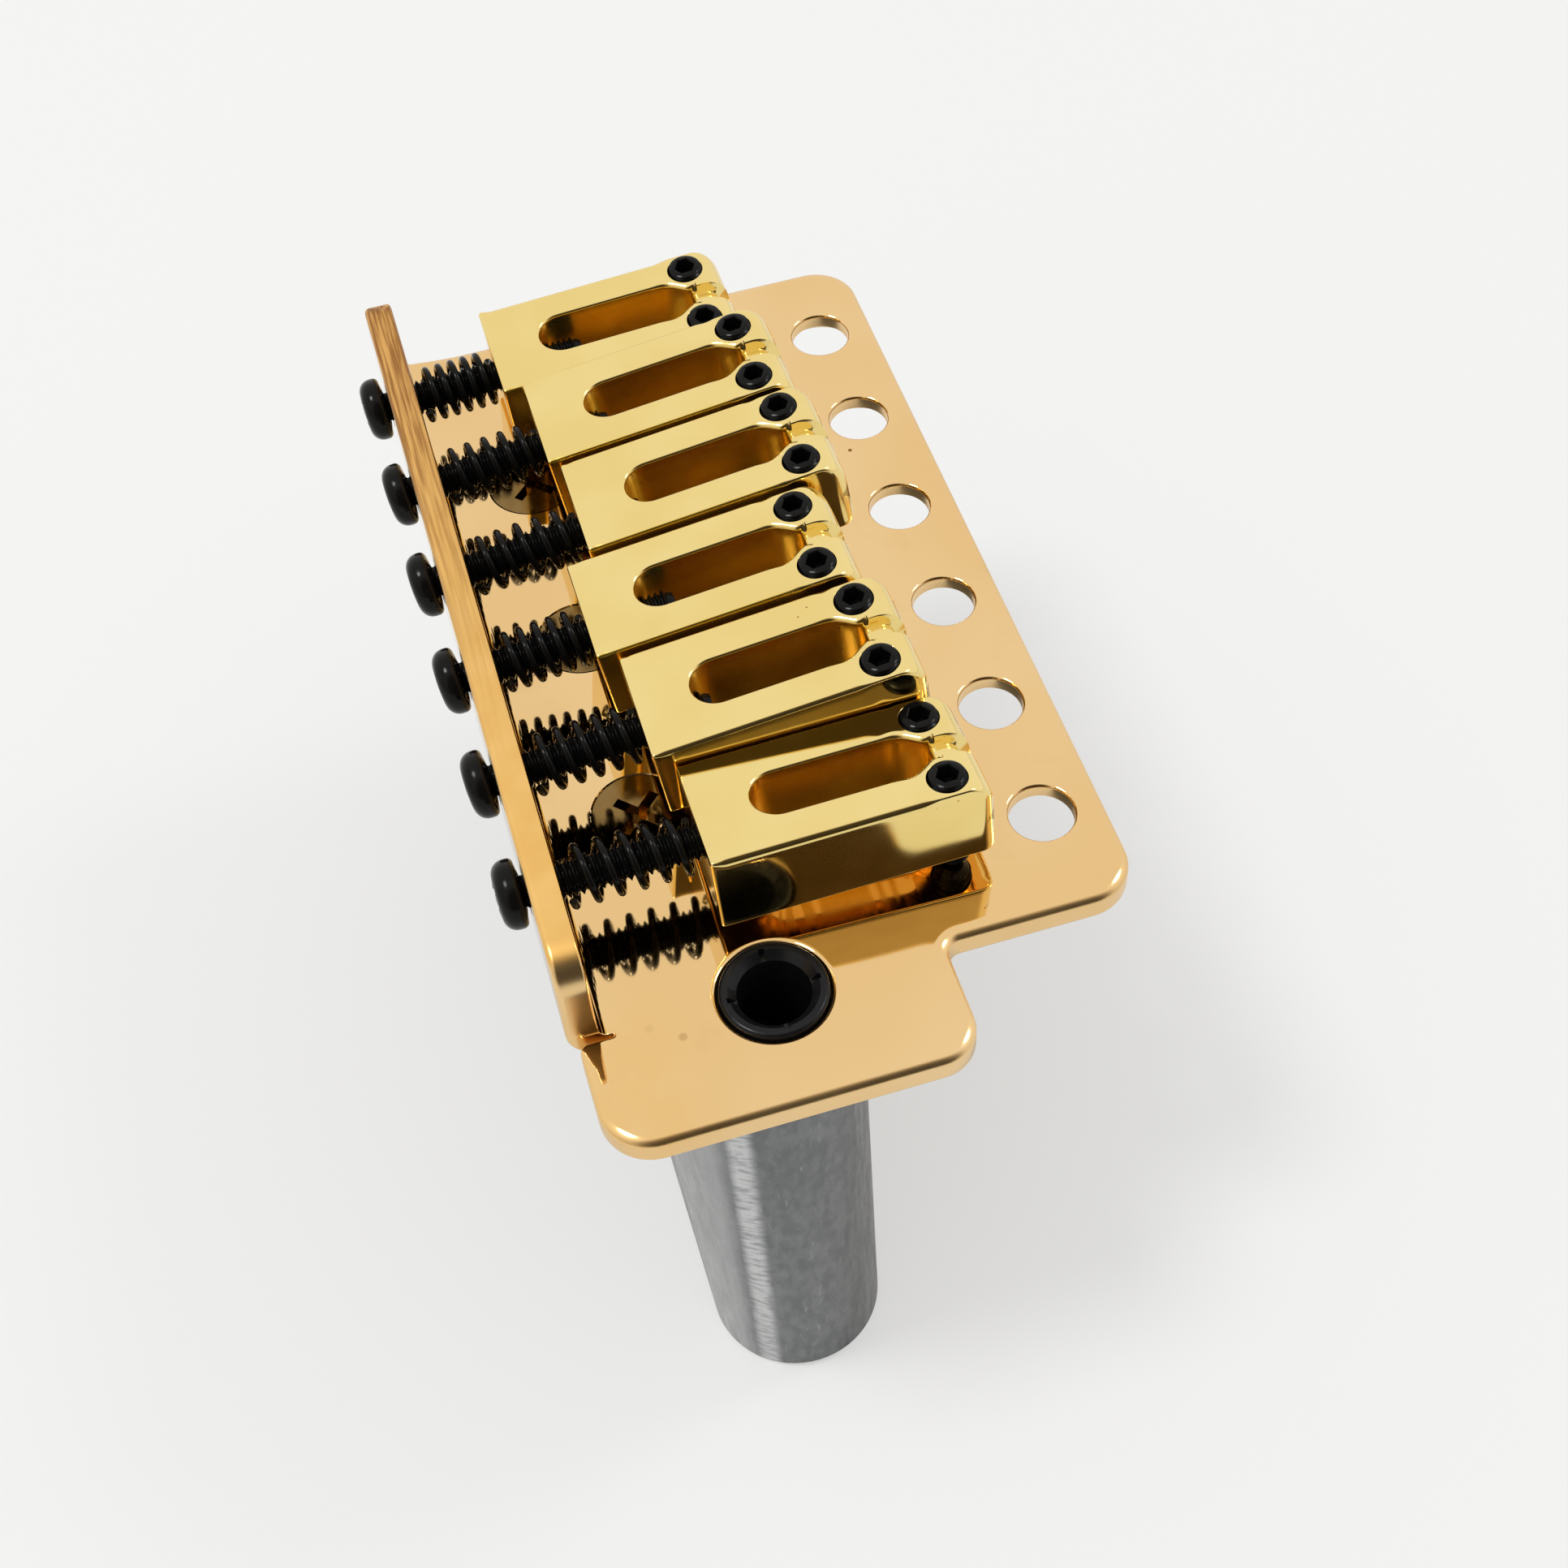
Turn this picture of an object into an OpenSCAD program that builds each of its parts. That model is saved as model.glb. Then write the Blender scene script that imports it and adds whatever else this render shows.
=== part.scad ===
// Pivoting guitar bridge with six block saddles: a plate with a bent lip, a hanging block,
// an arm bush, and for each string a saddle on a sprung screw with two height screws.
// X runs to the treble (arm) side, Y to the neck, Z up. The origin is on the plate's top face,
// in the middle of the line of six pivot holes. Saddles count from the bass side.

/* [Plate] */
// Width of the plate across the pivot holes
plate_w = 73.2; // [72:0.1:76]
// Thickness of the plate and of its lip
plate_t = 2.3; // [2:0.05:2.6]
// Front edge of the plate, ahead of the pivot holes
plate_front = 4.75; // [4.5:0.05:7]
// Radius of the plate's outer corners in plan
corner_r = 3.8; // [2.5:0.1:4.2]
// Rounding of the plate's upper edge
edge_r = 0.6; // [0.3:0.05:0.9]
// Distance between neighbouring pivot holes
pivot_pitch = 11.2; // [10.8:0.05:11.4]
// Diameter of the pivot holes
pivot_d = 5; // [4:0.1:5.4]
// Depth of the bevel under each pivot hole
pivot_bevel = 0.8; // [0.4:0.1:1.2]

/* [Lip] */
// Inner face of the lip, behind the pivot holes
lip_back = 36.2; // [36:0.1:38]
// Height of the lip above the plate's top face
lip_h = 8.7; // [8.2:0.1:11]
// Radius of the lip's upper corners
lip_corner_r = 4.7; // [2:0.1:6]
// Inside radius of the bend
bend_r = 0.9; // [0.5:0.1:1.3]
// Height of the lip's screw holes above the plate
lip_hole_z = 5; // [4.6:0.1:5.2]
// Diameter of the lip's screw holes, wide enough for a screw that tilts
lip_hole_d = 3.9; // [3.8:0.05:4.2]
// Width of the relief cut beside the bend
relief_w = 0.8; // [0.5:0.1:1.2]

/* [Arm side] */
// Treble edge of the ear that holds the arm
ear_x = 46.05; // [46:0.05:49]
// Front edge of the ear, behind the pivot holes
ear_front = 10.6; // [9:0.1:12]
// Rear edge of the ear, behind the pivot holes
ear_rear = 37.8; // [37.6:0.1:38.4]
// Radius of the inner corner between plate and ear
ear_fillet = 1.2; // [0.6:0.1:2]
// Arm hole, from the bridge's centre line
arm_x = 36.75; // [36.5:0.05:37.5]
// Arm hole, behind the pivot holes
arm_back = 23.45; // [23:0.05:24]
// Outer diameter of the arm bush's head
bush_head_d = 8; // [7.6:0.1:8.4]
// Height of the bush's head above the plate
bush_proud = 0.35; // [0.1:0.05:0.8]
// Outer diameter of the bush's sleeve in the block
bush_d = 7.2; // [6.8:0.1:7.4]
// Length of the bush's sleeve below the plate
bush_l = 16; // [12:0.5:20]
// Diameter of the bore that takes the arm
arm_bore_d = 5.44; // [5:0.02:5.8]
// Width of the chamfer at the mouth of the bush
bush_chamfer = 0.6; // [0.3:0.05:0.7]
// Width of the four driver notches in the bush's head
notch_w = 0.45; // [0.3:0.05:0.7]

/* [Block] */
// Height of the block below the plate
block_h = 44; // [36:0.5:46]
// Treble end of the block
block_treble = 45.7; // [45:0.1:46]
// Bass end of the block, from the centre line
block_bass = 31.7; // [31:0.1:34]
// Thickness of the block at its top
block_t_top = 15.8; // [15.4:0.1:16.4]
// Thickness of the block at its foot
block_t_foot = 14.2; // [13.8:0.1:15]
// Middle of the block's top, behind the pivot holes
block_back_top = 25.4; // [25:0.1:25.8]
// Middle of the block's foot, behind the pivot holes
block_back_foot = 24.1; // [24:0.1:24.6]
// Chamfer round the block's foot
foot_chamfer = 0.5; // [0.2:0.1:0.8]
// String holes, behind the pivot holes
string_back = 21.8; // [21.6:0.1:22.2]
// Diameter of a string hole at the top
string_d = 3.2; // [2.6:0.1:3.6]
// Diameter of a string hole below, for the ball end
ball_d = 6.4; // [6:0.1:6.6]
// Depth of the wide part of a string hole, from the foot
ball_depth = 33; // [20:1:34]
// Number of spring hook holes in the foot
hook_count = 5; // [3:1:5]
// Diameter of a spring hook hole
hook_d = 2.8; // [2.4:0.1:3]
// Depth of a spring hook hole
hook_depth = 12; // [8:1:16]
// Spring hook holes, behind the pivot holes
hook_back = 28.5; // [28.3:0.1:28.7]

/* [Block screws] */
// Distance of the outer block screws from the centre line
block_screw_x = 18.4; // [17:0.1:19]
// Block screws, behind the pivot holes
block_screw_back = 28.6; // [28.4:0.1:29.4]
// Shank diameter of a block screw
block_screw_d = 4; // [3.5:0.1:4.2]
// Head diameter of a block screw
block_head_d = 7.2; // [6.8:0.1:7.6]
// Depth of a block screw's tapered head
block_head_h = 1.7; // [1.4:0.1:1.9]
// Length of a block screw
block_screw_l = 12; // [10:1:16]

/* [Saddles] */
// Distance between neighbouring strings
string_pitch = 10.5; // [10.45:0.05:10.8]
// Width of a saddle
saddle_w = 10.1; // [9.6:0.05:10.15]
// Length of a saddle
saddle_l = 21; // [20.4:0.1:22]
// Thickness of a saddle
saddle_h = 6.9; // [6.6:0.1:7.1]
// Top of a saddle above its intonation screw
saddle_top = 2.8; // [2.6:0.05:3]
// Radius of a saddle's nose
nose_r = 2.2; // [1.5:0.1:2.6]
// Radius of a saddle's lower front edge
chin_r = 0.8; // [0.4:0.1:1.2]
// Radius of a saddle's front corners in plan
saddle_corner_r = 1.3; // [0.8:0.1:1.4]
// Thickness of the tapped wall behind the slot
saddle_wall = 4.3; // [3.8:0.1:4.6]
// Width of the slot
slot_w = 4.1; // [3.6:0.1:4.3]
// Front end of the slot, behind the saddle's nose
slot_inset = 3.2; // [2.8:0.1:3.6]
// Length over which the slot narrows to the groove
slot_taper = 2.8; // [2:0.1:4]
// Width of the string groove over the nose
groove_w = 1.7; // [1.2:0.1:1.8]
// Depth of the string groove
groove_depth = 0.8; // [0.5:0.1:1.1]

/* [Screws] */
// Diameter of the intonation and height screws
screw_d = 2.9; // [2.8:0.02:2.94]
// Running clearance round a screw in a saddle
thread_gap = 0.05; // [0.03:0.01:0.08]
// Head diameter of an intonation screw
head_d = 5.4; // [5:0.1:5.8]
// Height of an intonation screw's head
head_h = 1.8; // [1.6:0.1:2.2]
// Gap under the head, which tilts with the screw
head_gap = 0.5; // [0.45:0.05:0.8]
// Length of an intonation screw from the lip's outer face
screw_l = 17; // [16.5:0.1:18]
// Distance between a saddle's two height screws
height_screw_gap = 6.34; // [6.2:0.02:6.4]
// Height screws, behind the saddle's nose
height_screw_inset = 3.05; // [2.9:0.05:3.2]
// How far a height screw stands out of the saddle
height_screw_proud = 0.4; // [0.1:0.05:0.8]
// Hexagon socket of a height screw, across flats
socket_af = 1.5; // [1.3:0.05:1.6]
// Depth of the hexagon socket
socket_depth = 1.6; // [1:0.1:2.5]
// Gap between a height screw's foot and the plate
foot_gap = 0.4; // [0.3:0.01:0.5]

/* [Springs] */
// Outer diameter of an intonation spring
spring_d = 4.7; // [4.6:0.05:5]
// Wire diameter of an intonation spring
wire_d = 0.6; // [0.5:0.02:0.6]
// Turns of an intonation spring
spring_turns = 5.5; // [4:0.5:5.5]
// Gap between a spring's end and the lip
spring_gap = 0.4; // [0.35:0.05:0.6]

/* [Saddle backs] */
// Back of saddle 1, behind the pivot holes
back_1 = 29.1; // [26:0.1:29.2]
// Back of saddle 2, behind the pivot holes
back_2 = 27.4; // [26:0.1:29.2]
// Back of saddle 3, behind the pivot holes
back_3 = 26.6; // [26:0.1:29.2]
// Back of saddle 4, behind the pivot holes
back_4 = 28.6; // [26:0.1:29.2]
// Back of saddle 5, behind the pivot holes
back_5 = 27.1; // [26:0.1:29.2]
// Back of saddle 6, behind the pivot holes
back_6 = 25.8; // [25.6:0.1:29.2]

/* [Saddle rise] */
// Angle by which saddle 1 rises to the neck
rise_1 = 3.7; // [1.8:0.1:7.5]
// Angle by which saddle 2 rises to the neck
rise_2 = 7.3; // [1.8:0.1:7.5]
// Angle by which saddle 3 rises to the neck
rise_3 = 7.5; // [1.8:0.1:7.5]
// Angle by which saddle 4 rises to the neck
rise_4 = 7.1; // [1.8:0.1:7.5]
// Angle by which saddle 5 rises to the neck
rise_5 = 6.5; // [1.8:0.1:7.5]
// Angle by which saddle 6 rises to the neck
rise_6 = 1.8; // [1.8:0.1:7.5]

/* [Saddle lean] */
// Angle by which saddle 1 leans, treble side up
lean_1 = -2; // [-2.5:0.1:1]
// Angle by which saddle 2 leans, treble side up
lean_2 = 1.4; // [-1:0.1:1.5]
// Angle by which saddle 3 leans, treble side up
lean_3 = 1.4; // [-1:0.1:1.5]
// Angle by which saddle 4 leans, treble side up
lean_4 = 1.3; // [-1:0.1:1.5]
// Angle by which saddle 5 leans, treble side up
lean_5 = 0.9; // [-1:0.1:1]
// Angle by which saddle 6 leans, treble side up
lean_6 = 6; // [0:0.1:6]

/* [Hidden] */

strings = 6;
pivots = 6;
backs = [back_1, back_2, back_3, back_4, back_5, back_6];
rises = [rise_1, rise_2, rise_3, rise_4, rise_5, rise_6];
leans = [lean_1, lean_2, lean_3, lean_4, lean_5, lean_6];

// Cuts run this far past the faces that they open
past = 1;
// The flat plate ends where its bend begins
bend_start = lip_back - bend_r;
// A screw tilts about the middle of the lip's thickness
tilt_back = lip_back + plate_t / 2;
saddle_floor = saddle_top - saddle_h;
// Measured from the saddle's back
slot_front = saddle_l - slot_inset;
slot_full = slot_front - slot_taper;
height_screw_y = saddle_l - height_screw_inset;
screw_hole_d = screw_d + 2 * thread_gap;
// Bevel at the ends of the intonation and height screws
screw_bevel = 0.35;
// Width of a driver's cross slot
cross_w = 0.8;
// Block screws sit this far below the plate's top face
screw_sink = 0.05;
// Gap round a block screw in the plate
screw_room = 0.15;
coil_r = (spring_d - wire_d) / 2;
rings_per_turn = 8;
wire_sides = 6;

function string_x(i) = (i - (strings - 1) / 2) * string_pitch;
function pivot_x(i) = (i - (pivots - 1) / 2) * pivot_pitch;

// Length of screw between its tilting point and the saddle's back
function reach(i) = (tilt_back - backs[i]) / cos(rises[i]);

// Height of a saddle's back, at its screw, above the plate
function back_z(i) = lip_hole_z + reach(i) * sin(rises[i]);

// Height in the saddle's own frame at which a height screw just clears the plate
function screw_foot(i, side) =
  ((foot_gap - back_z(i)) / cos(rises[i]) - height_screw_y * tan(rises[i])
   - side * height_screw_gap / 2 * sin(leans[i])) / cos(leans[i]);

// Slot: half its width narrows from the full slot to the groove in a smooth S
function slot_half(y) =
  let (u = (y - slot_full) / (slot_front - slot_full))
  groove_w / 2 + (slot_w - groove_w) / 2 * (1 + cos(180 * u)) / 2;

// One quarter of a rounded upper edge, as points from the side to the top
function edge_arc(r) = [for (a = [0:15:90]) [r - edge_r + edge_r * cos(a), -edge_r + edge_r * sin(a)]];

// Places the children in string i's tilted screw frame, with Y along the screw
module at_screw(i) {
  translate([string_x(i), -tilt_back, lip_hole_z])
    rotate([rises[i], 0, 0])
      children();
}

// Places the children in saddle i's own frame, with its origin on the screw at the saddle's back
module at_saddle(i) {
  at_screw(i)
    translate([0, reach(i), 0])
      rotate([0, -leans[i], 0])
        children();
}

// Corner post of the plate, with a rounded upper edge
module corner_post(r) {
  rotate_extrude($fn = 32)
    polygon(concat([[0, -plate_t], [r, -plate_t]], edge_arc(r), [[0, 0]]));
}

// Thin strip across the plate, with rounded upper edges at both ends
module cross_strip() {
  arc = edge_arc(plate_w / 2);
  mirrored = [for (k = [len(arc) - 1:-1:0]) [-arc[k][0], arc[k][1]]];
  rotate([90, 0, 0])
    linear_extrude(0.02)
      polygon(concat([[-plate_w / 2, -plate_t], [plate_w / 2, -plate_t]], arc, mirrored));
}

// Flat plate under the saddles, up to the start of the bend
module plate_slab() {
  hull() {
    for (side = [-1, 1])
      translate([side * (plate_w / 2 - corner_r), plate_front - corner_r, 0])
        corner_post(corner_r);
    translate([0, -bend_start, 0])
      cross_strip();
  }
}

// Ear on the treble side, which holds the arm bush
module ear_slab() {
  inner_x = plate_w / 2 - 2 * corner_r;
  hull() {
    for (y = [-ear_front - corner_r, -ear_rear + corner_r]) {
      translate([ear_x - corner_r, y, 0])
        corner_post(corner_r);
      translate([inner_x, y, 0])
        corner_post(corner_r);
    }
  }
}

// Fillet in the corner between the plate and the ear
module ear_corner() {
  translate([plate_w / 2 - 1, -ear_front - 1, -plate_t])
    linear_extrude(plate_t - edge_r)
      difference() {
        square(ear_fillet + 1);
        translate([ear_fillet + 1, ear_fillet + 1])
          circle(ear_fillet, $fn = 48);
      }
}

// Bent lip: the sheet's own section, drawn in Y and Z
module lip_section() {
  translate([-lip_back - plate_t, bend_r])
    square([plate_t, lip_h - bend_r]);
  translate([-bend_start - 0.01, -plate_t])
    square([1, plate_t]);
  translate([-bend_start, bend_r])
    intersection() {
      difference() {
        circle(bend_r + plate_t, $fn = 64);
        circle(bend_r, $fn = 64);
      }
      translate([-bend_r - plate_t, -bend_r - plate_t])
        square(bend_r + plate_t);
    }
}

// Front view of the lip, with round upper corners
module lip_outline() {
  translate([-plate_w / 2, -plate_t - past])
    square([plate_w, lip_h - lip_corner_r + plate_t + past]);
  translate([-plate_w / 2 + lip_corner_r, 0])
    square([plate_w - 2 * lip_corner_r, lip_h]);
  for (side = [-1, 1])
    translate([side * (plate_w / 2 - lip_corner_r), lip_h - lip_corner_r])
      circle(lip_corner_r, $fn = 64);
}

module lip() {
  intersection() {
    translate([-plate_w / 2, 0, 0])
      rotate([90, 0, 90])
        linear_extrude(plate_w)
          lip_section();
    translate([0, -bend_start + 2, 0])
      rotate([90, 0, 0])
        linear_extrude(lip_back - bend_start + plate_t + 2 + past)
          lip_outline();
  }
}

module base_plate() {
  color([0.90, 0.75, 0.52])
    difference() {
      union() {
        plate_slab();
        difference() {
          ear_slab();
          translate([0, -ear_rear - past, -plate_t - past])
            cube([plate_w / 2 + relief_w, ear_rear + past - bend_start, plate_t + 2 * past]);
        }
        ear_corner();
        lip();
      }
      for (i = [0:pivots - 1])
        translate([pivot_x(i), 0, -plate_t]) {
          translate([0, 0, -past])
            cylinder(d = pivot_d, h = plate_t + 2 * past, $fn = 48);
          translate([0, 0, -0.01])
            cylinder(d1 = pivot_d + 2 * pivot_bevel, d2 = pivot_d, h = pivot_bevel, $fn = 48);
        }
      for (i = [0:strings - 1]) {
        translate([string_x(i), -string_back, -plate_t - past])
          cylinder(d = string_d, h = plate_t + 2 * past, $fn = 32);
        translate([string_x(i), -lip_back + past, lip_hole_z])
          rotate([90, 0, 0])
            cylinder(d = lip_hole_d, h = plate_t + 2 * past, $fn = 48);
      }
      for (i = [-1:1])
        translate([i * block_screw_x, -block_screw_back, 0]) {
          translate([0, 0, -plate_t - past])
            cylinder(d = block_screw_d + 2 * screw_room, h = plate_t + 2 * past, $fn = 48);
          translate([0, 0, -block_head_h])
            cylinder(
              d1 = block_screw_d + 2 * screw_room, d2 = block_head_d + 2 * screw_room,
              h = block_head_h + 0.01, $fn = 48);
        }
      translate([arm_x, -arm_back, -plate_t - past])
        cylinder(d = bush_head_d + 0.6, h = plate_t + 2 * past, $fn = 64);
    }
}

// Slice of the block: a long outline with round ends
module block_slice(t, back, z, h) {
  for (x = [-block_bass + block_t_top / 2, block_treble - block_t_top / 2])
    translate([x, -back, z])
      cylinder(d = t, h = h, $fn = 64);
}

module tremolo_block() {
  foot_z = -plate_t - block_h;
  color([0.56, 0.58, 0.58])
    difference() {
      hull() {
        block_slice(block_t_top, block_back_top, -plate_t - 0.02, 0.02);
        block_slice(block_t_foot, block_back_foot, foot_z + foot_chamfer, 0.02);
        block_slice(block_t_foot - 2 * foot_chamfer, block_back_foot, foot_z, 0.02);
      }
      for (i = [0:strings - 1])
        translate([string_x(i), -string_back, foot_z]) {
          translate([0, 0, -past])
            cylinder(d = string_d, h = block_h + 2 * past, $fn = 32);
          translate([0, 0, -past])
            cylinder(d = ball_d, h = ball_depth + past, $fn = 48);
          translate([0, 0, ball_depth - 0.01])
            cylinder(d1 = ball_d, d2 = string_d, h = (ball_d - string_d) / 2, $fn = 48);
        }
      for (i = [0:hook_count - 1])
        translate([(i - (hook_count - 1) / 2) * string_pitch, -hook_back, foot_z - past])
          cylinder(d = hook_d, h = hook_depth + past, $fn = 32);
      for (i = [-1:1])
        translate([i * block_screw_x, -block_screw_back, -block_screw_l - 1])
          cylinder(d = block_screw_d + 2 * thread_gap, h = block_screw_l + past, $fn = 48);
      translate([arm_x, -arm_back, -plate_t - bush_l - 1.5])
        cylinder(d = bush_d + 2 * thread_gap, h = bush_l + 1.5 + past, $fn = 64);
    }
}

module block_screws() {
  shank_r = block_screw_d / 2;
  color([0.80, 0.66, 0.40])
    for (i = [-1:1])
      translate([i * block_screw_x, -block_screw_back, 0])
        difference() {
          rotate_extrude($fn = 48)
            polygon([
              [0, -block_screw_l], [shank_r, -block_screw_l], [shank_r, -block_head_h],
              [block_head_d / 2, -screw_sink], [0, -screw_sink]]);
          for (turn = [45, 135])
            rotate([0, 0, turn])
              translate([-block_head_d * 0.3, -cross_w / 2, -block_head_h * 0.75])
                cube([block_head_d * 0.6, cross_w, block_head_h]);
        }
}

module arm_bush() {
  head_top = bush_proud;
  color([0.05, 0.05, 0.05])
    translate([arm_x, -arm_back, 0])
      difference() {
        union() {
          translate([0, 0, -plate_t])
            cylinder(d = bush_head_d, h = plate_t + head_top - 0.3, $fn = 64);
          translate([0, 0, head_top - 0.3])
            cylinder(d1 = bush_head_d, d2 = bush_head_d - 0.6, h = 0.3, $fn = 64);
          translate([0, 0, -plate_t - bush_l])
            cylinder(d = bush_d, h = bush_l + 0.1, $fn = 64);
        }
        translate([0, 0, -plate_t - bush_l - past])
          cylinder(d = arm_bore_d, h = bush_l + plate_t + head_top + 2 * past, $fn = 64);
        translate([0, 0, head_top - bush_chamfer])
          cylinder(d1 = arm_bore_d, d2 = arm_bore_d + 2 * bush_chamfer, h = bush_chamfer + 0.01, $fn = 64);
        for (turn = [0:90:270])
          rotate([0, 0, turn])
            translate([arm_bore_d / 2 - 0.3, -notch_w / 2, head_top - bush_chamfer])
              cube([bush_head_d / 2, notch_w, bush_chamfer + past]);
      }
}

// Side view of a saddle, drawn in Y and Z: flat top, round nose and a small round chin
module saddle_side() {
  difference() {
    translate([0, saddle_floor])
      square([saddle_l, saddle_h]);
    translate([saddle_l - nose_r, saddle_top - nose_r])
      square(nose_r + past);
    translate([saddle_l - chin_r, saddle_floor - past])
      square([chin_r + past, chin_r + past]);
  }
  translate([saddle_l - nose_r, saddle_top - nose_r])
    circle(nose_r, $fn = 64);
  translate([saddle_l - chin_r, saddle_floor + chin_r])
    circle(chin_r, $fn = 48);
}

// Plan of a saddle, with round front corners
module saddle_plan() {
  translate([-saddle_w / 2, 0])
    square([saddle_w, saddle_l - saddle_corner_r]);
  translate([-saddle_w / 2 + saddle_corner_r, 0])
    square([saddle_w - 2 * saddle_corner_r, saddle_l]);
  for (side = [-1, 1])
    translate([side * (saddle_w / 2 - saddle_corner_r), saddle_l - saddle_corner_r])
      circle(saddle_corner_r, $fn = 48);
}

// Plan of the slot: round at the back, drawn in to the groove's width at the front
module slot_plan() {
  steps = 12;
  stations = [for (k = [0:steps]) slot_full + (slot_front - slot_full) * k / steps];
  translate([0, saddle_wall + slot_w / 2])
    circle(slot_w / 2, $fn = 48);
  translate([-slot_w / 2, saddle_wall + slot_w / 2])
    square([slot_w, slot_full - saddle_wall - slot_w / 2 + 0.01]);
  polygon(concat(
    [for (y = stations) [slot_half(y), y]],
    [for (k = [steps:-1:0]) [-slot_half(stations[k]), stations[k]]]));
}

// String groove: what lies above the nose once it is lowered by the groove's depth
module groove_side() {
  difference() {
    translate([slot_front - 0.3, saddle_top - nose_r - groove_depth])
      square([saddle_l, nose_r + groove_depth + past]);
    translate([-groove_depth, -groove_depth])
      saddle_side();
    translate([slot_front - 0.3, saddle_floor])
      square([saddle_l - slot_front - nose_r - groove_depth + 0.3, saddle_h - groove_depth]);
  }
}

module saddle(i) {
  color([0.85, 0.76, 0.42])
    at_saddle(i)
      difference() {
        intersection() {
          translate([-saddle_w / 2 - past, 0, 0])
            rotate([90, 0, 90])
              linear_extrude(saddle_w + 2 * past)
                saddle_side();
          translate([0, 0, saddle_floor - past])
            linear_extrude(saddle_h + 2 * past)
              saddle_plan();
        }
        translate([0, 0, saddle_floor - past])
          linear_extrude(saddle_h + 2 * past)
            slot_plan();
        translate([-groove_w / 2, 0, 0])
          rotate([90, 0, 90])
            linear_extrude(groove_w)
              groove_side();
        translate([0, -past, 0])
          rotate([-90, 0, 0])
            cylinder(d = screw_hole_d, h = saddle_wall + slot_w / 2 + past, $fn = 32);
        for (side = [-1, 1])
          translate([side * height_screw_gap / 2, height_screw_y, saddle_floor - past])
            cylinder(d = screw_hole_d, h = saddle_h + 2 * past, $fn = 32);
      }
}

// Intonation screw: a pan head behind the lip and a plain shank at the thread's diameter
module intonation_screw(i) {
  under_head = -plate_t / 2 - head_gap;
  tip = under_head + head_gap + screw_l;
  dome = head_h * 0.4;
  color([0.06, 0.06, 0.06])
    at_screw(i)
      difference() {
        rotate([-90, 0, 0])
          rotate_extrude($fn = 48) {
            polygon([
              [0, under_head - 0.01], [screw_d / 2, under_head - 0.01], [screw_d / 2, tip - screw_bevel],
              [screw_d / 2 - screw_bevel, tip], [0, tip]]);
            translate([0, under_head - head_h + dome])
              square([head_d / 2, head_h - dome]);
            translate([0, under_head - head_h])
              square([head_d / 2 - dome, head_h]);
            translate([head_d / 2 - dome, under_head - head_h + dome])
              circle(dome, $fn = 32);
          }
        for (turn = [0, 90])
          translate([0, under_head - head_h, 0])
            rotate([0, turn, 0])
              cube([head_d * 0.55, head_h, cross_w], center = true);
      }
}

// Height screw: headless, with a hexagon socket above and a tapered foot on the plate
module height_screw(i, side) {
  foot = screw_foot(i, side);
  top = saddle_top + height_screw_proud;
  color([0.06, 0.06, 0.06])
    at_saddle(i)
      translate([side * height_screw_gap / 2, height_screw_y, 0])
        difference() {
          rotate_extrude($fn = 48)
            polygon([
              [0, foot], [screw_d / 2 - 2 * screw_bevel, foot], [screw_d / 2, foot + 2 * screw_bevel],
              [screw_d / 2, top - screw_bevel], [screw_d / 2 - screw_bevel, top], [0, top]]);
          translate([0, 0, top - socket_depth])
            cylinder(d = socket_af / cos(30), h = socket_depth + past, $fn = 6);
        }
}

// Centre of the wire at a share u of spring i's length, in the screw's frame
function wire_centre(i, u) =
  let (
    from = plate_t / 2 + spring_gap + wire_d / 2,
    to = reach(i) - 0.1 - wire_d / 2,
    a = 360 * spring_turns * u
  )
  [coil_r * cos(a), from + (to - from) * u, coil_r * sin(a)];

// Ring of points round the wire there
function wire_ring(i, u) =
  let (c = wire_centre(i, u), a = 360 * spring_turns * u)
  [for (k = [0:wire_sides - 1])
    let (b = 360 * k / wire_sides)
    c + wire_d / 2 * [cos(b) * cos(a), sin(b), cos(b) * sin(a)]];

// Least distance between two lists of points
function least_gap(p, q) = min([for (a = p, b = q) norm(a - b)]);

// Intonation spring: one unbroken wire wound along the screw
module intonation_spring(i) {
  last = spring_turns * rings_per_turn;
  rings = [for (k = [0:last]) wire_ring(i, k / last)];
  own_gap = min([for (k = [0:last - rings_per_turn]) least_gap(rings[k], rings[k + rings_per_turn])]);
  echo(str("spring ", i + 1, " least gap to itself, mm: ", own_gap));
  points = [for (ring = rings) each ring];
  sides = [for (k = [0:last - 1], s = [0:wire_sides - 1])
    let (
      a = k * wire_sides + s,
      b = k * wire_sides + (s + 1) % wire_sides,
      c = a + wire_sides,
      d = b + wire_sides
    )
    each [[a, b, d], [a, d, c]]];
  first_cap = [for (s = [1:wire_sides - 2]) [0, s + 1, s]];
  end = last * wire_sides;
  last_cap = [for (s = [1:wire_sides - 2]) [end, end + s, end + s + 1]];
  color([0.07, 0.07, 0.07])
    at_screw(i)
      polyhedron(points = points, faces = concat(sides, first_cap, last_cap));
}

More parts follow.
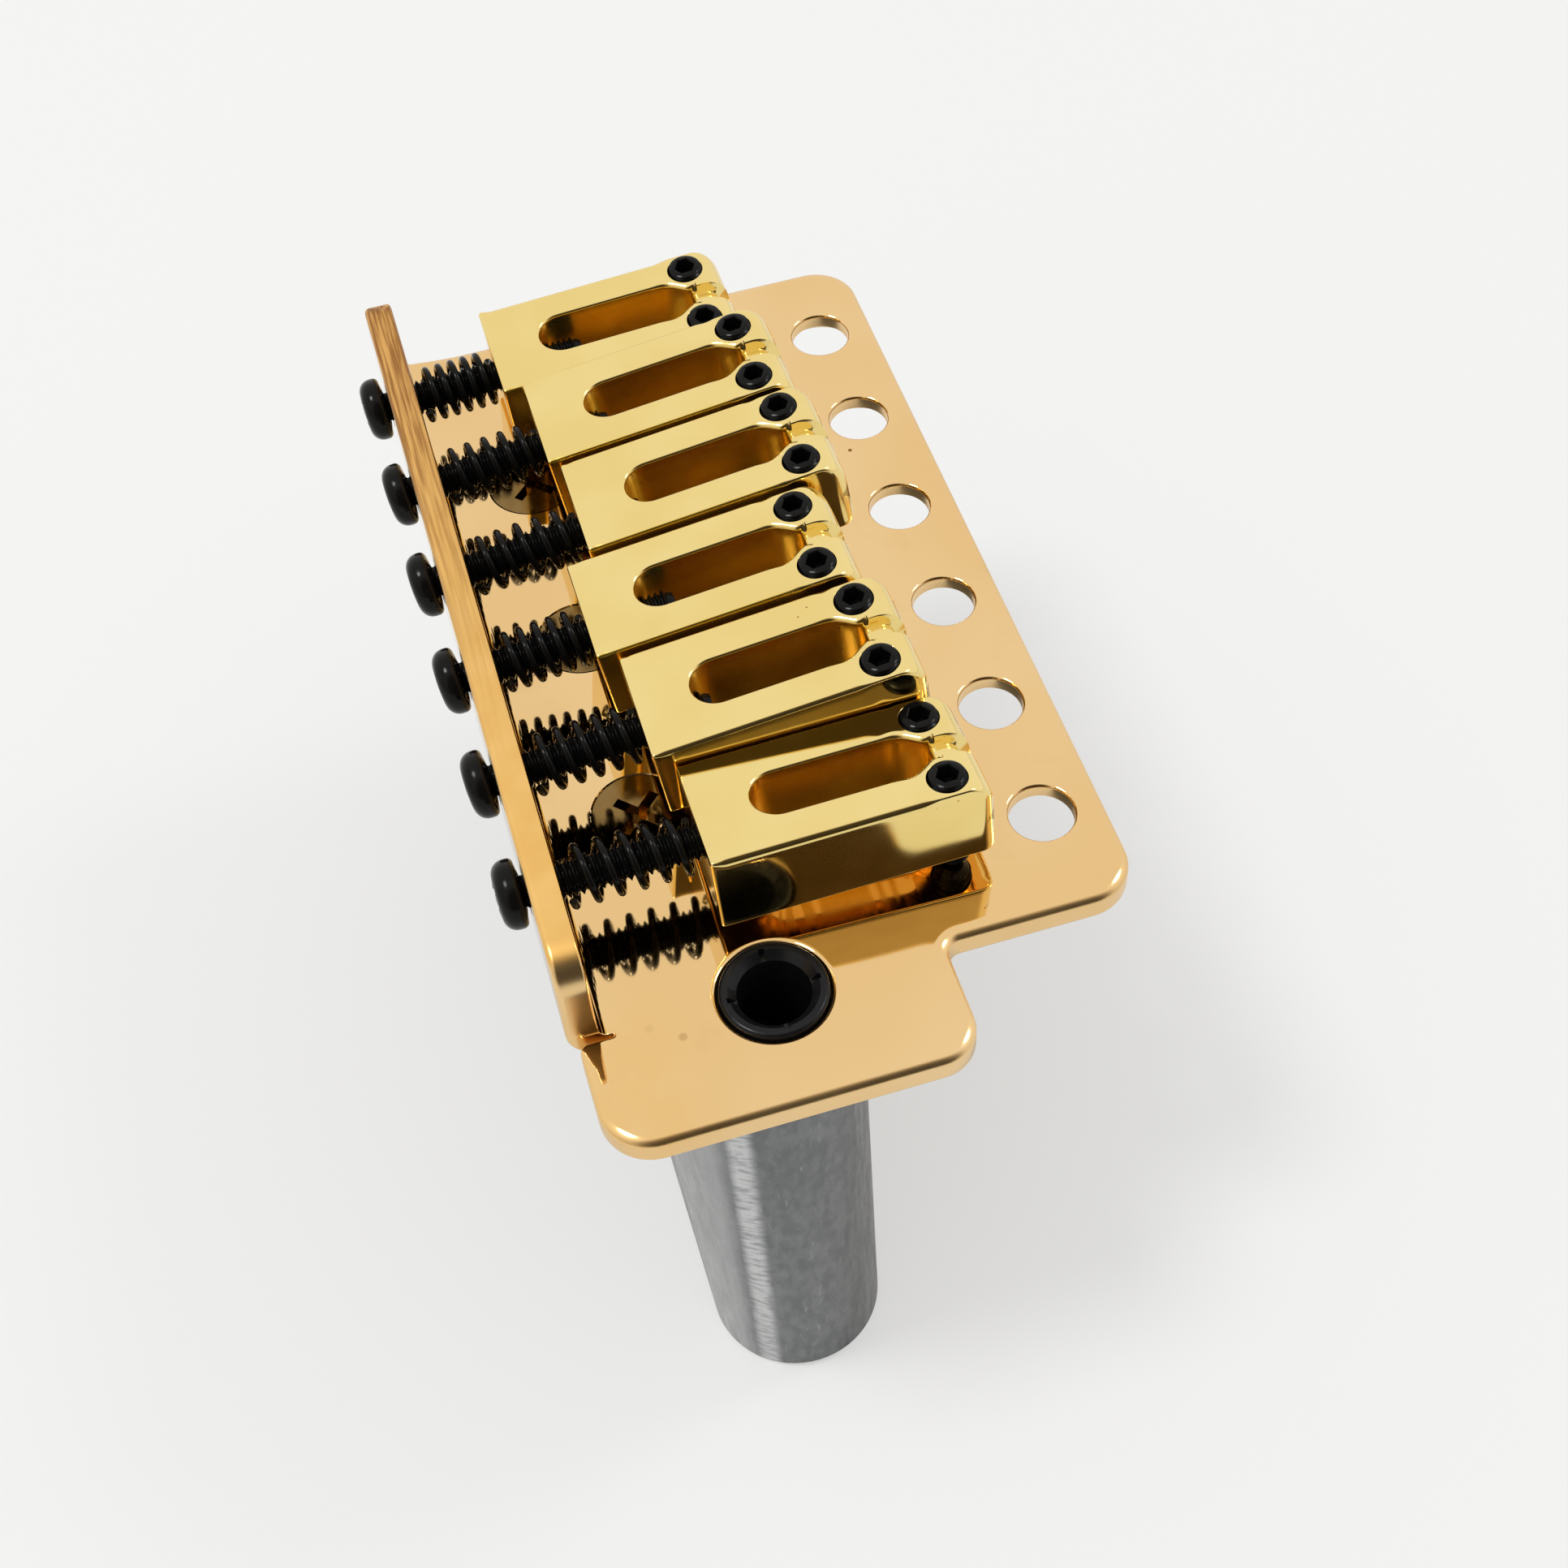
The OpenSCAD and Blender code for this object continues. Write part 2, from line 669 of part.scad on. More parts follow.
module saddle_1() saddle(0);
module saddle_2() saddle(1);
module saddle_3() saddle(2);
module saddle_4() saddle(3);
module saddle_5() saddle(4);
module saddle_6() saddle(5);
module intonation_screw_1() intonation_screw(0);
module intonation_screw_2() intonation_screw(1);
module intonation_screw_3() intonation_screw(2);
module intonation_screw_4() intonation_screw(3);
module intonation_screw_5() intonation_screw(4);
module intonation_screw_6() intonation_screw(5);
module intonation_spring_1() intonation_spring(0);
module intonation_spring_2() intonation_spring(1);
module intonation_spring_3() intonation_spring(2);
module intonation_spring_4() intonation_spring(3);
module intonation_spring_5() intonation_spring(4);
module intonation_spring_6() intonation_spring(5);
module height_screw_1_bass() height_screw(0, -1);
module height_screw_1_treble() height_screw(0, 1);
module height_screw_2_bass() height_screw(1, -1);
module height_screw_2_treble() height_screw(1, 1);
module height_screw_3_bass() height_screw(2, -1);
module height_screw_3_treble() height_screw(2, 1);
module height_screw_4_bass() height_screw(3, -1);
module height_screw_4_treble() height_screw(3, 1);
module height_screw_5_bass() height_screw(4, -1);
module height_screw_5_treble() height_screw(4, 1);
module height_screw_6_bass() height_screw(5, -1);
module height_screw_6_treble() height_screw(5, 1);

base_plate();
tremolo_block();
block_screws();
arm_bush();
saddle_1();
saddle_2();
saddle_3();
saddle_4();
saddle_5();
saddle_6();
intonation_screw_1();
intonation_screw_2();
intonation_screw_3();
intonation_screw_4();
intonation_screw_5();
intonation_screw_6();
intonation_spring_1();
intonation_spring_2();
intonation_spring_3();
intonation_spring_4();
intonation_spring_5();
intonation_spring_6();
height_screw_1_bass();
height_screw_1_treble();
height_screw_2_bass();
height_screw_2_treble();
height_screw_3_bass();
height_screw_3_treble();
height_screw_4_bass();
height_screw_4_treble();
height_screw_5_bass();
height_screw_5_treble();
height_screw_6_bass();
height_screw_6_treble();
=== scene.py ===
"""Looks of a gold-plated guitar bridge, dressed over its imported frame.

Sizes are millimetres while a shape is worked out, and metres once it is a mesh.
X runs to the treble side, Y to the neck and Z up, from the middle of the pivot holes.
"""

import math

import bmesh
import bpy
import numpy as np
from mathutils import Euler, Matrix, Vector
from mathutils.geometry import delaunay_2d_cdt


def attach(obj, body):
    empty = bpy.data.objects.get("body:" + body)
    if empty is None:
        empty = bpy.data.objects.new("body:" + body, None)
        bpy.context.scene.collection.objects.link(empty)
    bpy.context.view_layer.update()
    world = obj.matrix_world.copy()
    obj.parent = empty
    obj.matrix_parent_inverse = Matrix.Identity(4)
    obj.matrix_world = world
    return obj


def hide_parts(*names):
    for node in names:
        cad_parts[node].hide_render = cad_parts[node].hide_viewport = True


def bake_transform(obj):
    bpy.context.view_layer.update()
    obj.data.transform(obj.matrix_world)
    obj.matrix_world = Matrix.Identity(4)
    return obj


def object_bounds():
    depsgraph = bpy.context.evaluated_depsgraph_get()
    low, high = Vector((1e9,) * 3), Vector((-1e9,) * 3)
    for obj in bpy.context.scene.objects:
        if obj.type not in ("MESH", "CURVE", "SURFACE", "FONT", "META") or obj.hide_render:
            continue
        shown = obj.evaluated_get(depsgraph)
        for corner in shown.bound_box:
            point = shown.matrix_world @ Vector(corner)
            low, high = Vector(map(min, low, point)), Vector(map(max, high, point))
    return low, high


MM = 0.001

# The sheet that makes the plate and its lip
SHEET = 2.3
PLATE_HALF = 36.6
PLATE_FRONT = 4.75
CORNER_R = 3.8
EAR_SIDE = 46.05
EAR_FRONT = -10.6
EAR_REAR = -37.8
EAR_FRONT_R = 3.2
EAR_INNER_R = 1.2
LIP_BACK = 36.2
LIP_TOP = 8.7
LIP_HOLE_Z = 5.0
BEND_INSIDE = 0.9
BEND_START = LIP_BACK - BEND_INSIDE
NOTCH = 0.3
NOTCH_AHEAD = 0.15
NOTCH_R = 0.14
NOTCH_REAR_R = 0.7
LIP_CORNER = 3.1

# The plate's rolled edge: how far it reaches in and down, and its share of that elsewhere
ROLL_REACH = 1.1
ROLL_DROP = 0.66
LIP_ROLL = 0.38
NOTCH_ROLL = 0.16

# Holes in the plate
ARM = (36.75, -23.45)
STRING_PITCH = 10.5
PIVOT_PITCH = 11.2
STRING_X = tuple((i - 2.5) * STRING_PITCH for i in range(6))
PIVOT_X = tuple((i - 2.5) * PIVOT_PITCH for i in range(6))
STRING_BACK = -21.8
BLOCK_SCREWS = tuple((x, -28.6) for x in (-18.4, 0.0, 18.4))
PIVOT_R = 2.5
PIVOT_BEVEL = 1.1
STRING_R = 1.6
LIP_HOLE_R = 1.95
ARM_HOLE_R = 4.06
PIVOT_RIM = 0.32
STRING_RIM = 0.15
ARM_RIM = 0.45
FOOT_RIM = 0.1
SINK_R = 2.15
SINK_WIDE = 1.6
SINK_DEEP = 1.7

# Each saddle's back edge, rise to the neck and lean, treble side up
TILT_BACK = LIP_BACK + SHEET / 2
BACKS = (29.1, 27.4, 26.6, 28.6, 27.1, 25.8)
RISES = (3.7, 7.3, 7.5, 7.1, 6.5, 1.8)
LEANS = (-2.0, 1.4, 1.4, 1.3, 0.9, 6.0)

# Saddles
SADDLE_HALF = 5.05
SADDLE_LONG = 21.0
SADDLE_TOP = 2.8
SADDLE_FLOOR = -4.1
NOSE_R = 2.2
CHIN_R = 0.8
BACK_CORNER_R = 0.3
NOSE_CORNER_R = 1.3
SLOT_WALL = 4.3
SLOT_HALF = 2.05
SLOT_FULL = 15.0
SLOT_FRONT = 17.8
SLOT_POWER = 1.4
SHOULDER = 0.3
SHOULDER_FRONT = 0.47
SHOULDER_FROM = 14.2
GROOVE_HALF = 0.85
GROOVE_DEEP = 0.8
HEIGHT_SCREW_X = 3.17
HEIGHT_SCREW_Y = 17.95
SIDE_EDGE = 0.62
GAP_EDGE = 0.25
TIGHT_EDGE = 0.2
GAP_LONG = 17.0
WIDE_GAP_SADDLE, WIDE_GAP_SHARE = 4, 0.3

# The arm's bush
BUSH_BORE_R = 2.72
BUSH_MOUTH_R = 3.32
BUSH_R = 3.6
BUSH_LONG = 16.0
FLANGE_R = 4.0
FLANGE_HIGH = 0.35
MOUTH_LOW = -0.25
MOUTH_RISE = 0.6
BUSH_NOTCH_HALF = 0.2
BUSH_NOTCH_AT = 3.0

# Screws and springs
SCREW_R = 1.45
SCREW_TIP = 15.85
TIP_LONG = 0.35
TIP_IN = 0.45
THREAD_PITCH = 0.5
THREAD_DEPTH = 0.3
HEAD_R = 2.6
HEAD_HIGH = 1.9
HEAD_GAP = 0.22
HEAD_DISH = 0.16
HEAD_SOFT = 0.45
HEAD_DOME = 1.05
CROSS_HALF = 0.3
CROSS_R = 1.55
CROSS_DEEP = 0.9
FOOT_GAP = 0.4
FOOT_R = 0.75
SOCKET_HALF = 0.75
SOCKET_DEEP = 1.4
SCREW_PROUD = 0.4
WIRE_R = 0.3
COIL_R = 2.05
SPRING_TURNS = 5.5
SPRING_FROM_LIP = 0.4
SPRING_TO_SADDLE = 0.1

# Places of the marks on the plate, the faint ones with their strength
MARK_SPECK = (-13.2, -1.9, 0)
MARKS_FAINT = (((38.4, -30.6, 0), 0.35), ((37.0, -32.7, 0), 0.1))

# The painted highlight on the block's round end: the way across its stripe, and the stripe's
# middle that way
HIGHLIGHT_WAY = (0.5, 0.866)
HIGHLIGHT_AT = -2.49

# The room: the ways to its tent's bright middle and to its dark side, and the camera in metres
TENT = (-0.56, 0.16, 0.81)
DARK_SIDE = (0.86, 0.06, 0.50)
PALE = (0.90, 0.90, 0.89)
LENS = 52.32
SENSOR = 36.0
CAMERA_PLACE = (0.12153848, -0.04176471, 0.13713540)
CAMERA_TURN = (37.38742768, 2.52819353, 73.34567806)
LAMPS_AIM = (0, -0.02, -0.02)

# The shares by which walls count as inner, and the depths over which these are eased in. Inner
# walls are duller, and on the saddles they also get a painted amber reflection in their colour
RIM_MARK = (0.6, 0.25)
HOLE_DEPTH = 0.6
SIDE_MARK, GAP_MARK = 0.15, 0.8
SIDE_DEPTH, GAP_DEPTH = 0.6, 0.05


# Turning and placing

def turn_x(points, degrees):
    """Points turned about X, positive from Y to Z."""
    a = math.radians(degrees)
    x, y, z = points.T
    return np.stack([x, y * math.cos(a) - z * math.sin(a), y * math.sin(a) + z * math.cos(a)], 1)


def turn_y(points, degrees):
    """Points turned about Y, positive from Z to X."""
    a = math.radians(degrees)
    x, y, z = points.T
    return np.stack([x * math.cos(a) + z * math.sin(a), y, -x * math.sin(a) + z * math.cos(a)], 1)


def reach(i):
    """Length of screw between the tilting point and the back of saddle i."""
    return (TILT_BACK - BACKS[i]) / math.cos(math.radians(RISES[i]))


def on_screw(points, i):
    """From screw i's own frame, Y along the screw, to the bridge's frame."""
    return turn_x(points, RISES[i]) + (STRING_X[i], -TILT_BACK, LIP_HOLE_Z)


def on_saddle(points, i):
    """From saddle i's own frame, its origin on the screw at the back, to the bridge's frame."""
    return on_screw(turn_y(points, -LEANS[i]) + (0, reach(i), 0), i)


# Making meshes

class Shell:
    """Points and faces of one piece, gathered surface by surface."""

    def __init__(self):
        self.points, self.faces, self.count, self.inner = [], [], 0, []

    def add(self, points, faces, inner=0.0):
        """Faces over points of their own, which count as inner by a share."""
        self.points.append(np.asarray(points, float))
        self.inner.append(np.broadcast_to(inner, len(points)))
        self.faces.extend((np.asarray(faces) + self.count).tolist())
        self.count += len(points)

    def sheet(self, grid, wrap=False, inner=0.0):
        """A grid of rows and columns as quads, the columns joined into a ring if wrap is set."""
        rows, cols = grid.shape[:2]
        index = np.arange(rows * cols).reshape(rows, cols)
        if wrap:
            index = np.concatenate([index, index[:, :1]], 1)
        quads = np.stack([index[:-1, :-1], index[:-1, 1:], index[1:, 1:], index[1:, :-1]], -1)
        self.add(grid.reshape(-1, 3), quads.reshape(-1, 4), inner)

    def fan(self, ring, centre):
        """A ring closed to its centre."""
        n = len(ring)
        k = np.arange(n)
        self.add(np.vstack([ring, centre]), np.stack([k, (k + 1) % n, np.full(n, n)], 1))


def finish_mesh(mesh, sharp):
    """Joins doubled points, turns the faces outwards and keeps edges sharper than an angle
    sharp."""
    work = bmesh.new()
    work.from_mesh(mesh)
    bmesh.ops.remove_doubles(work, verts=work.verts, dist=2e-6)
    bmesh.ops.dissolve_degenerate(work, edges=work.edges, dist=1e-6)
    bmesh.ops.recalc_face_normals(work, faces=work.faces)
    work.to_mesh(mesh)
    work.free()
    mesh.shade_smooth()
    mesh.set_sharp_from_angle(angle=math.radians(sharp))
    mesh.update()


def make_piece(name, shell, body, material, nodes, sharp):
    """A piece from a shell in mm, standing for CAD nodes. It rides on a body, if one is named."""
    mesh = bpy.data.meshes.new(name)
    mesh.from_pydata((np.concatenate(shell.points) * MM).tolist(), [], shell.faces)
    inner = mesh.attributes.new("inner", "FLOAT", "POINT")
    inner.data.foreach_set("value", np.concatenate(shell.inner))
    finish_mesh(mesh, sharp)
    mesh.materials.append(material)
    obj = bpy.data.objects.new(name, mesh)
    bpy.context.scene.collection.objects.link(obj)
    obj.modifiers.new("even shading", "WEIGHTED_NORMAL").keep_sharp = True
    if body:
        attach(obj, body)
    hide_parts(*nodes)
    return obj


# Outlines in plan

def ease(share):
    """A smooth step from 0 to 1: three times the square less twice the cube."""
    s = np.clip(share, 0, 1)
    return s * s * (3 - 2 * s)


def rounded_outline(corners, step=6):
    """Straight sides joined by arcs: each corner is x, y and the arc's radius."""
    c = np.array([p[:2] for p in corners], float)
    path = []
    for k, (_, _, r) in enumerate(corners):
        a = c[k - 1] - c[k]
        b = c[(k + 1) % len(c)] - c[k]
        a, b = a / np.linalg.norm(a), b / np.linalg.norm(b)
        half = math.acos(np.clip(a @ b, -1, 1)) / 2
        middle = c[k] + (a + b) / np.linalg.norm(a + b) * r / math.sin(half)
        start = c[k] + a * r / math.tan(half) - middle
        end = c[k] + b * r / math.tan(half) - middle
        first = math.atan2(start[1], start[0])
        sweep = (math.atan2(end[1], end[0]) - first + math.pi) % (2 * math.pi) - math.pi
        count = max(3, int(abs(math.degrees(sweep)) / step) + 1)
        angles = first + sweep * np.linspace(0, 1, count)
        path.append(middle + r * np.stack([np.cos(angles), np.sin(angles)], 1))
    return np.concatenate(path)


def cut_sides(path, heights, longest=4.0, beyond=math.inf):
    """A closed path with points added along its long sides, and, short of an x, where it crosses
    given heights."""
    out = []
    for p, q in zip(path, np.roll(path, -1, 0)):
        shares = [0.0]
        if abs(q[1] - p[1]) > 1e-9 and p[0] < beyond:
            s = (np.asarray(heights) - p[1]) / (q[1] - p[1])
            shares += [v for v in s if 1e-4 < v < 1 - 1e-4]
        n = int(np.linalg.norm(q - p) / longest)
        shares += [k / (n + 1) for k in range(1, n + 1)]
        shares = np.unique(np.round(shares, 9))
        out.append(p + np.outer(shares, q - p))
    return np.concatenate(out)


def circle(x, y, r, sides=64):
    """A hole's loop, clockwise, so that the metal lies on its left."""
    a = -np.linspace(0, 2 * math.pi, sides, endpoint=False)
    return np.stack([x + r * np.cos(a), y + r * np.sin(a)], 1)


def inward(loop):
    """Unit normals of a closed loop towards the metal, which lies on its left."""
    d = loop - np.roll(loop, 1, 0)
    d /= np.linalg.norm(d, axis=1)[:, None]
    e = np.roll(d, -1, 0)
    n = np.stack([-(d + e)[:, 1], (d + e)[:, 0]], 1)
    n /= np.linalg.norm(n, axis=1)[:, None]
    flat = np.stack([-d[:, 1], d[:, 0]], 1)
    return n / np.clip((n * flat).sum(1), 0.5, 1)[:, None]


def round_edges(top, foot, thick, steps=6, walls=0):
    """A rim's section as inset and depth: a quarter round, a wall, and a quarter round below it.

    The upper radius may vary along the rim, and the wall may have rows of its own."""
    a = np.radians(np.linspace(0, 90, steps + 1))[:, None]
    top = np.atleast_1d(top)[None]
    upper = np.stack([top * (1 - np.sin(a)), top * (1 - np.cos(a))], 2)
    lower = np.stack([foot * (1 - np.sin(a)), thick - foot * (1 - np.cos(a))], 2)[::-1]
    lower = np.broadcast_to(lower, upper.shape)
    share = np.linspace(0, 1, walls + 2)[1:-1, None, None]
    wall = upper[-1:] * (1 - share) + lower[:1] * share
    return np.concatenate([upper, wall, lower])


def rolled_edge(size, foot, thick, steps=10):
    """A blanked edge's section as inset and depth: a quarter of an ellipse above, longer along
    the face than down the wall, and a quarter round below. Its size may vary along the rim."""
    size = np.atleast_1d(size)[None]
    a = np.radians(np.linspace(0, 90, steps + 1))[:, None]
    upper = np.stack([ROLL_REACH * size * (1 - np.sin(a)), ROLL_DROP * size * (1 - np.cos(a))], 2)
    b = np.radians(np.linspace(90, 0, 5))[:, None] + 0 * size
    lower = np.stack([foot * (1 - np.sin(b)), thick - foot * (1 - np.cos(b))], 2)
    return np.concatenate([upper, lower])


def in_loop(points, loop):
    """Whether points lie in a closed loop: an odd number of its sides cross their ray to +X."""
    x, y = points[:, :1], points[:, 1:]
    a, b = loop, np.roll(loop, -1, 0)
    rise = np.where(a[:, 1] == b[:, 1], 1, b[:, 1] - a[:, 1])
    meets = a[:, 0] + (y - a[:, 1]) * (b[:, 0] - a[:, 0]) / rise
    crossed = ((a[:, 1] > y) != (b[:, 1] > y)) & (x < meets)
    return crossed.sum(1) % 2 == 1


def fill(points, edges, rims):
    """Triangles over the points, within the first rim and outside the others."""
    cut = delaunay_2d_cdt([Vector(p) for p in points], edges, [], 0, 1e-7)
    triangles, origins = cut[2:4]
    faces = np.array([[origins[v][0] for v in t] for t in triangles])
    a, b, c = (points[faces[:, k]] for k in range(3))
    ab, ac = b - a, c - a
    area = ab[:, 0] * ac[:, 1] - ab[:, 1] * ac[:, 0]
    faces[area < 0] = faces[area < 0][:, ::-1]
    middle = (a + b + c) / 3
    keep = (np.abs(area) > 1e-9) & in_loop(middle, rims[0])
    for rim in rims[1:]:
        keep &= ~in_loop(middle, rim)
    return faces[keep]


def slab(shell, loops, sections, inner, rows=(), grain=None, border=0.1):
    """A sheet with holes: each loop swept by its rim's section, and filled above and below.

    Each rim point is the loop's point moved inwards by the inset and down by the depth, and a
    narrow flat border lies within it, so that the faces stay flat to their edges. Inner marks
    each loop's wall, by a share that is eased in over a depth. Rows are lines of points across
    the sheet, so that it can be bent there, and grain is loose points on its upper face, so that
    it can be formed there."""
    tops, feet, edges, start = [], [], [], 0
    for loop, section, (mark, reach_in) in zip(loops, sections, inner):
        section = np.broadcast_to(section, (len(section), len(loop), 2))
        section = np.concatenate([section[:1] + (border, 0), section, section[-1:] + (border, 0)])
        flat = loop[None] + section[..., :1] * inward(loop)[None]
        rim = np.concatenate([flat, -section[..., 1:]], 2)
        deep = ease(section[..., 1] / reach_in) * mark
        shell.sheet(rim, wrap=True, inner=deep.ravel())
        k = np.arange(len(loop))
        edges += (np.stack([k, (k + 1) % len(loop)], 1) + start).tolist()
        start += len(loop)
        tops.append(flat[0])
        feet.append(flat[-1])
    for upper, rims in ((True, tops), (False, feet)):
        points, lines = np.concatenate(rims), list(edges)
        for row in rows:
            ends = np.where(np.abs(loops[0][:, 1] - row) < 1e-5)[0]
            left, right = ends[np.argsort(rims[0][ends, 0])][:2]
            between = np.arange(rims[0][left, 0] + 1.2, rims[0][right, 0] - 0.6, 1.2)
            ids = [left, *range(len(points), len(points) + len(between)), right]
            lines += list(zip(ids[:-1], ids[1:]))
            points = np.concatenate([points, np.stack([between, np.full(len(between), row)], 1)])
        if upper and grain is not None:
            points = np.concatenate([points, grain])
        faces = fill(points, lines, rims)
        depth = 0.0 if upper else -np.max(sections[0][-1, :, 1])
        solid = np.concatenate([points, np.full((len(points), 1), depth)], 1)
        shell.add(solid, faces if upper else faces[:, ::-1])


# The plate

def bend_lip(points):
    """Flat sheet to bent sheet: past the bend's start, a point turns about the bend's axis by the
    distance travelled over the inside radius, up to a right angle. What is left runs upwards."""
    x, y, z = points.T.copy()
    run = -y - BEND_START
    bent = (run > 0) & (x < PLATE_HALF + NOTCH / 2)
    angle = np.clip(run / BEND_INSIDE, 0, math.pi / 2)
    rest = np.maximum(run - BEND_INSIDE * math.pi / 2, 0)
    radius = BEND_INSIDE - z
    out = points.copy()
    out[bent, 1] = (-BEND_START - radius * np.sin(angle))[bent]
    out[bent, 2] = (BEND_INSIDE - radius * np.cos(angle) + rest)[bent]
    return out


def base_plate(material):
    """The sheet is drawn flat, its lip unrolled behind the bend, and then bent. Its edge is
    rolled over broadly, less so along the lip, and hardly at all by the notch before the ear."""
    arc = BEND_INSIDE * math.pi / 2

    def lip_at(z):
        """Where a height on the lip lies in the flat sheet."""
        return -(BEND_START + arc + z - BEND_INSIDE)

    notch_x, notch_y = PLATE_HALF + NOTCH, NOTCH_AHEAD - BEND_START
    corners = [
        (-PLATE_HALF, PLATE_FRONT, CORNER_R), (-PLATE_HALF, lip_at(LIP_TOP), LIP_CORNER),
        (PLATE_HALF, lip_at(LIP_TOP), LIP_CORNER), (PLATE_HALF, notch_y, NOTCH_R),
        (notch_x, notch_y, NOTCH_R), (notch_x, EAR_REAR, NOTCH_REAR_R),
        (EAR_SIDE, EAR_REAR, CORNER_R), (EAR_SIDE, EAR_FRONT, EAR_FRONT_R),
        (PLATE_HALF, EAR_FRONT, EAR_INNER_R), (PLATE_HALF, PLATE_FRONT, CORNER_R)]
    rows = [-BEND_START - arc * k / 10 for k in range(11)]
    outline = cut_sides(rounded_outline(corners), rows, 2.0, PLATE_HALF + 0.1)
    x, y = outline.T
    by_lip = x < PLATE_HALF + 0.1
    rolled = 1 - (1 - LIP_ROLL) * ease((-y - BEND_START + 2.5) / 2.0) * by_lip
    from_notch = np.hypot(x - notch_x, y - EAR_REAR - 1.2)
    rolled *= NOTCH_ROLL + (1 - NOTCH_ROLL) * ease((from_notch - 0.8) / 1.5)
    at_notch = np.hypot(x - PLATE_HALF, y + BEND_START) < 0.6
    rolled = np.where(at_notch, np.minimum(rolled, NOTCH_ROLL), rolled)
    foot = 0.25 + 0.2 * ease((-y - BEND_START - 1) / 1.5) * by_lip
    loops, sections, inner = [outline], [rolled_edge(rolled, foot, SHEET)], [RIM_MARK]

    def hole(x, y, r, section, mark=0.0):
        """A round hole with a rim's section, its wall marked as inner by a share."""
        loops.append(circle(x, y, r))
        sections.append(section)
        inner.append((mark, HOLE_DEPTH))

    bevel = np.linspace(0, PIVOT_BEVEL, 7)[:, None]
    for x in PIVOT_X:
        section = round_edges(PIVOT_RIM, FOOT_RIM, SHEET)
        section[-7:, :, 0], section[-7:, :, 1] = bevel, SHEET - PIVOT_BEVEL + bevel
        hole(x, 0, PIVOT_R, section, 1.0)
    for x in STRING_X:
        hole(x, STRING_BACK, STRING_R, round_edges(STRING_RIM, FOOT_RIM, SHEET))
        hole(x, lip_at(LIP_HOLE_Z), LIP_HOLE_R, round_edges(STRING_RIM, STRING_RIM, SHEET))
    share = np.linspace(0, 1, 6)
    cone = np.stack([SINK_WIDE * (1 - share), SINK_DEEP * share], 1)
    cone = np.concatenate([cone, [[0, SINK_DEEP + 0.05], [0, SHEET]]])
    for x, y in BLOCK_SCREWS:
        hole(x, y, SINK_R, cone[:, None])
    hole(*ARM, ARM_HOLE_R, round_edges(ARM_RIM, FOOT_RIM, SHEET))
    shell = Shell()
    slab(shell, loops, sections, inner, rows)
    shell.points = [bend_lip(p) for p in shell.points]
    return make_piece("polished_plate", shell, "bridge", material,
                      ["base_plate"], 40)


# The saddles

def slot_loop():
    """The slot's loop: half a circle at the back, and sides that draw in by half a cosine wave,
    its share of the way raised to a power so that they draw in late."""
    back = SLOT_WALL + SLOT_HALF
    y = np.linspace(SLOT_FRONT, SLOT_FULL, 21)
    late = ((y - SLOT_FULL) / (SLOT_FRONT - SLOT_FULL)) ** SLOT_POWER
    half = GROOVE_HALF + (SLOT_HALF - GROOVE_HALF) * (1 + np.cos(math.pi * late)) / 2
    taper = np.stack([half, y], 1)
    y = np.arange(SLOT_FULL - 0.5, back, -0.5)
    right = np.concatenate([taper, np.stack([np.full(len(y), SLOT_HALF), y], 1)])
    a = -np.linspace(0, math.pi, 33)
    end = np.stack([SLOT_HALF * np.cos(a), back + SLOT_HALF * np.sin(a)], 1)
    x = np.arange(-GROOVE_HALF + 0.1, GROOVE_HALF - 0.05, 0.1)
    front = np.stack([x, np.full(len(x), SLOT_FRONT)], 1)
    return np.concatenate([right, end, right[::-1] * (-1, 1), front])


def form_saddle(points):
    """Plan and depth to the saddle's form. The upper half hangs from a top that falls along the
    nose's arc, the lower half stands on a floor that rises along the chin's arc, and the string
    groove then sinks square to the nose by its depth, eased in over its walls and out below the
    nose."""
    x, y, z = points.T
    nose = np.clip(y - SADDLE_LONG + NOSE_R, 0, NOSE_R)
    chin = np.clip(y - SADDLE_LONG + CHIN_R, 0, CHIN_R)
    top = SADDLE_TOP - NOSE_R + np.sqrt(NOSE_R ** 2 - nose ** 2)
    floor = SADDLE_FLOOR + CHIN_R - np.sqrt(CHIN_R ** 2 - chin ** 2)
    high = SADDLE_TOP - SADDLE_FLOOR
    z = np.where(z > -high / 2, top + z, floor + high + z)
    tilt = np.clip(np.arctan2(y - SADDLE_LONG + NOSE_R, z - SADDLE_TOP + NOSE_R), 0, math.pi / 2)
    across = ease((GROOVE_HALF + 0.1 - np.abs(x)) / 0.3)
    sink = GROOVE_DEEP * across * ease((y - SLOT_FRONT + 0.6) / 0.4) * ease((z + 0.7) / 0.9)
    return np.stack([x, y - sink * np.sin(tilt), z - sink * np.cos(tilt)], 1)


def saddle_grain():
    """Loose points over the groove, in lanes along its walls, and over the nose's round."""
    lanes = np.array([0, 0.3, 0.55, 0.65, 0.72, 0.79, 0.86, 0.95, 1.1])
    lanes = np.unique(np.concatenate([-lanes, lanes]))
    drops = SADDLE_LONG - NOSE_R + NOSE_R * np.sin(np.radians(np.arange(0, 50, 5)))
    before = SLOT_FRONT + np.array([0.4, 0.55, 0.7, 0.85])
    middle = np.stack(np.meshgrid(lanes, [*before, *drops]), 2).reshape(-1, 2)
    wide = np.stack(np.meshgrid(np.arange(-4.3, 4.4, 0.43), drops), 2).reshape(-1, 2)
    grain = np.concatenate([middle, wide[np.abs(wide[:, 0]) > 1.2]])
    for x in (-HEIGHT_SCREW_X, HEIGHT_SCREW_X):
        grain = grain[np.hypot(grain[:, 0] - x, grain[:, 1] - HEIGHT_SCREW_Y) > SCREW_R + 0.2]
    return grain


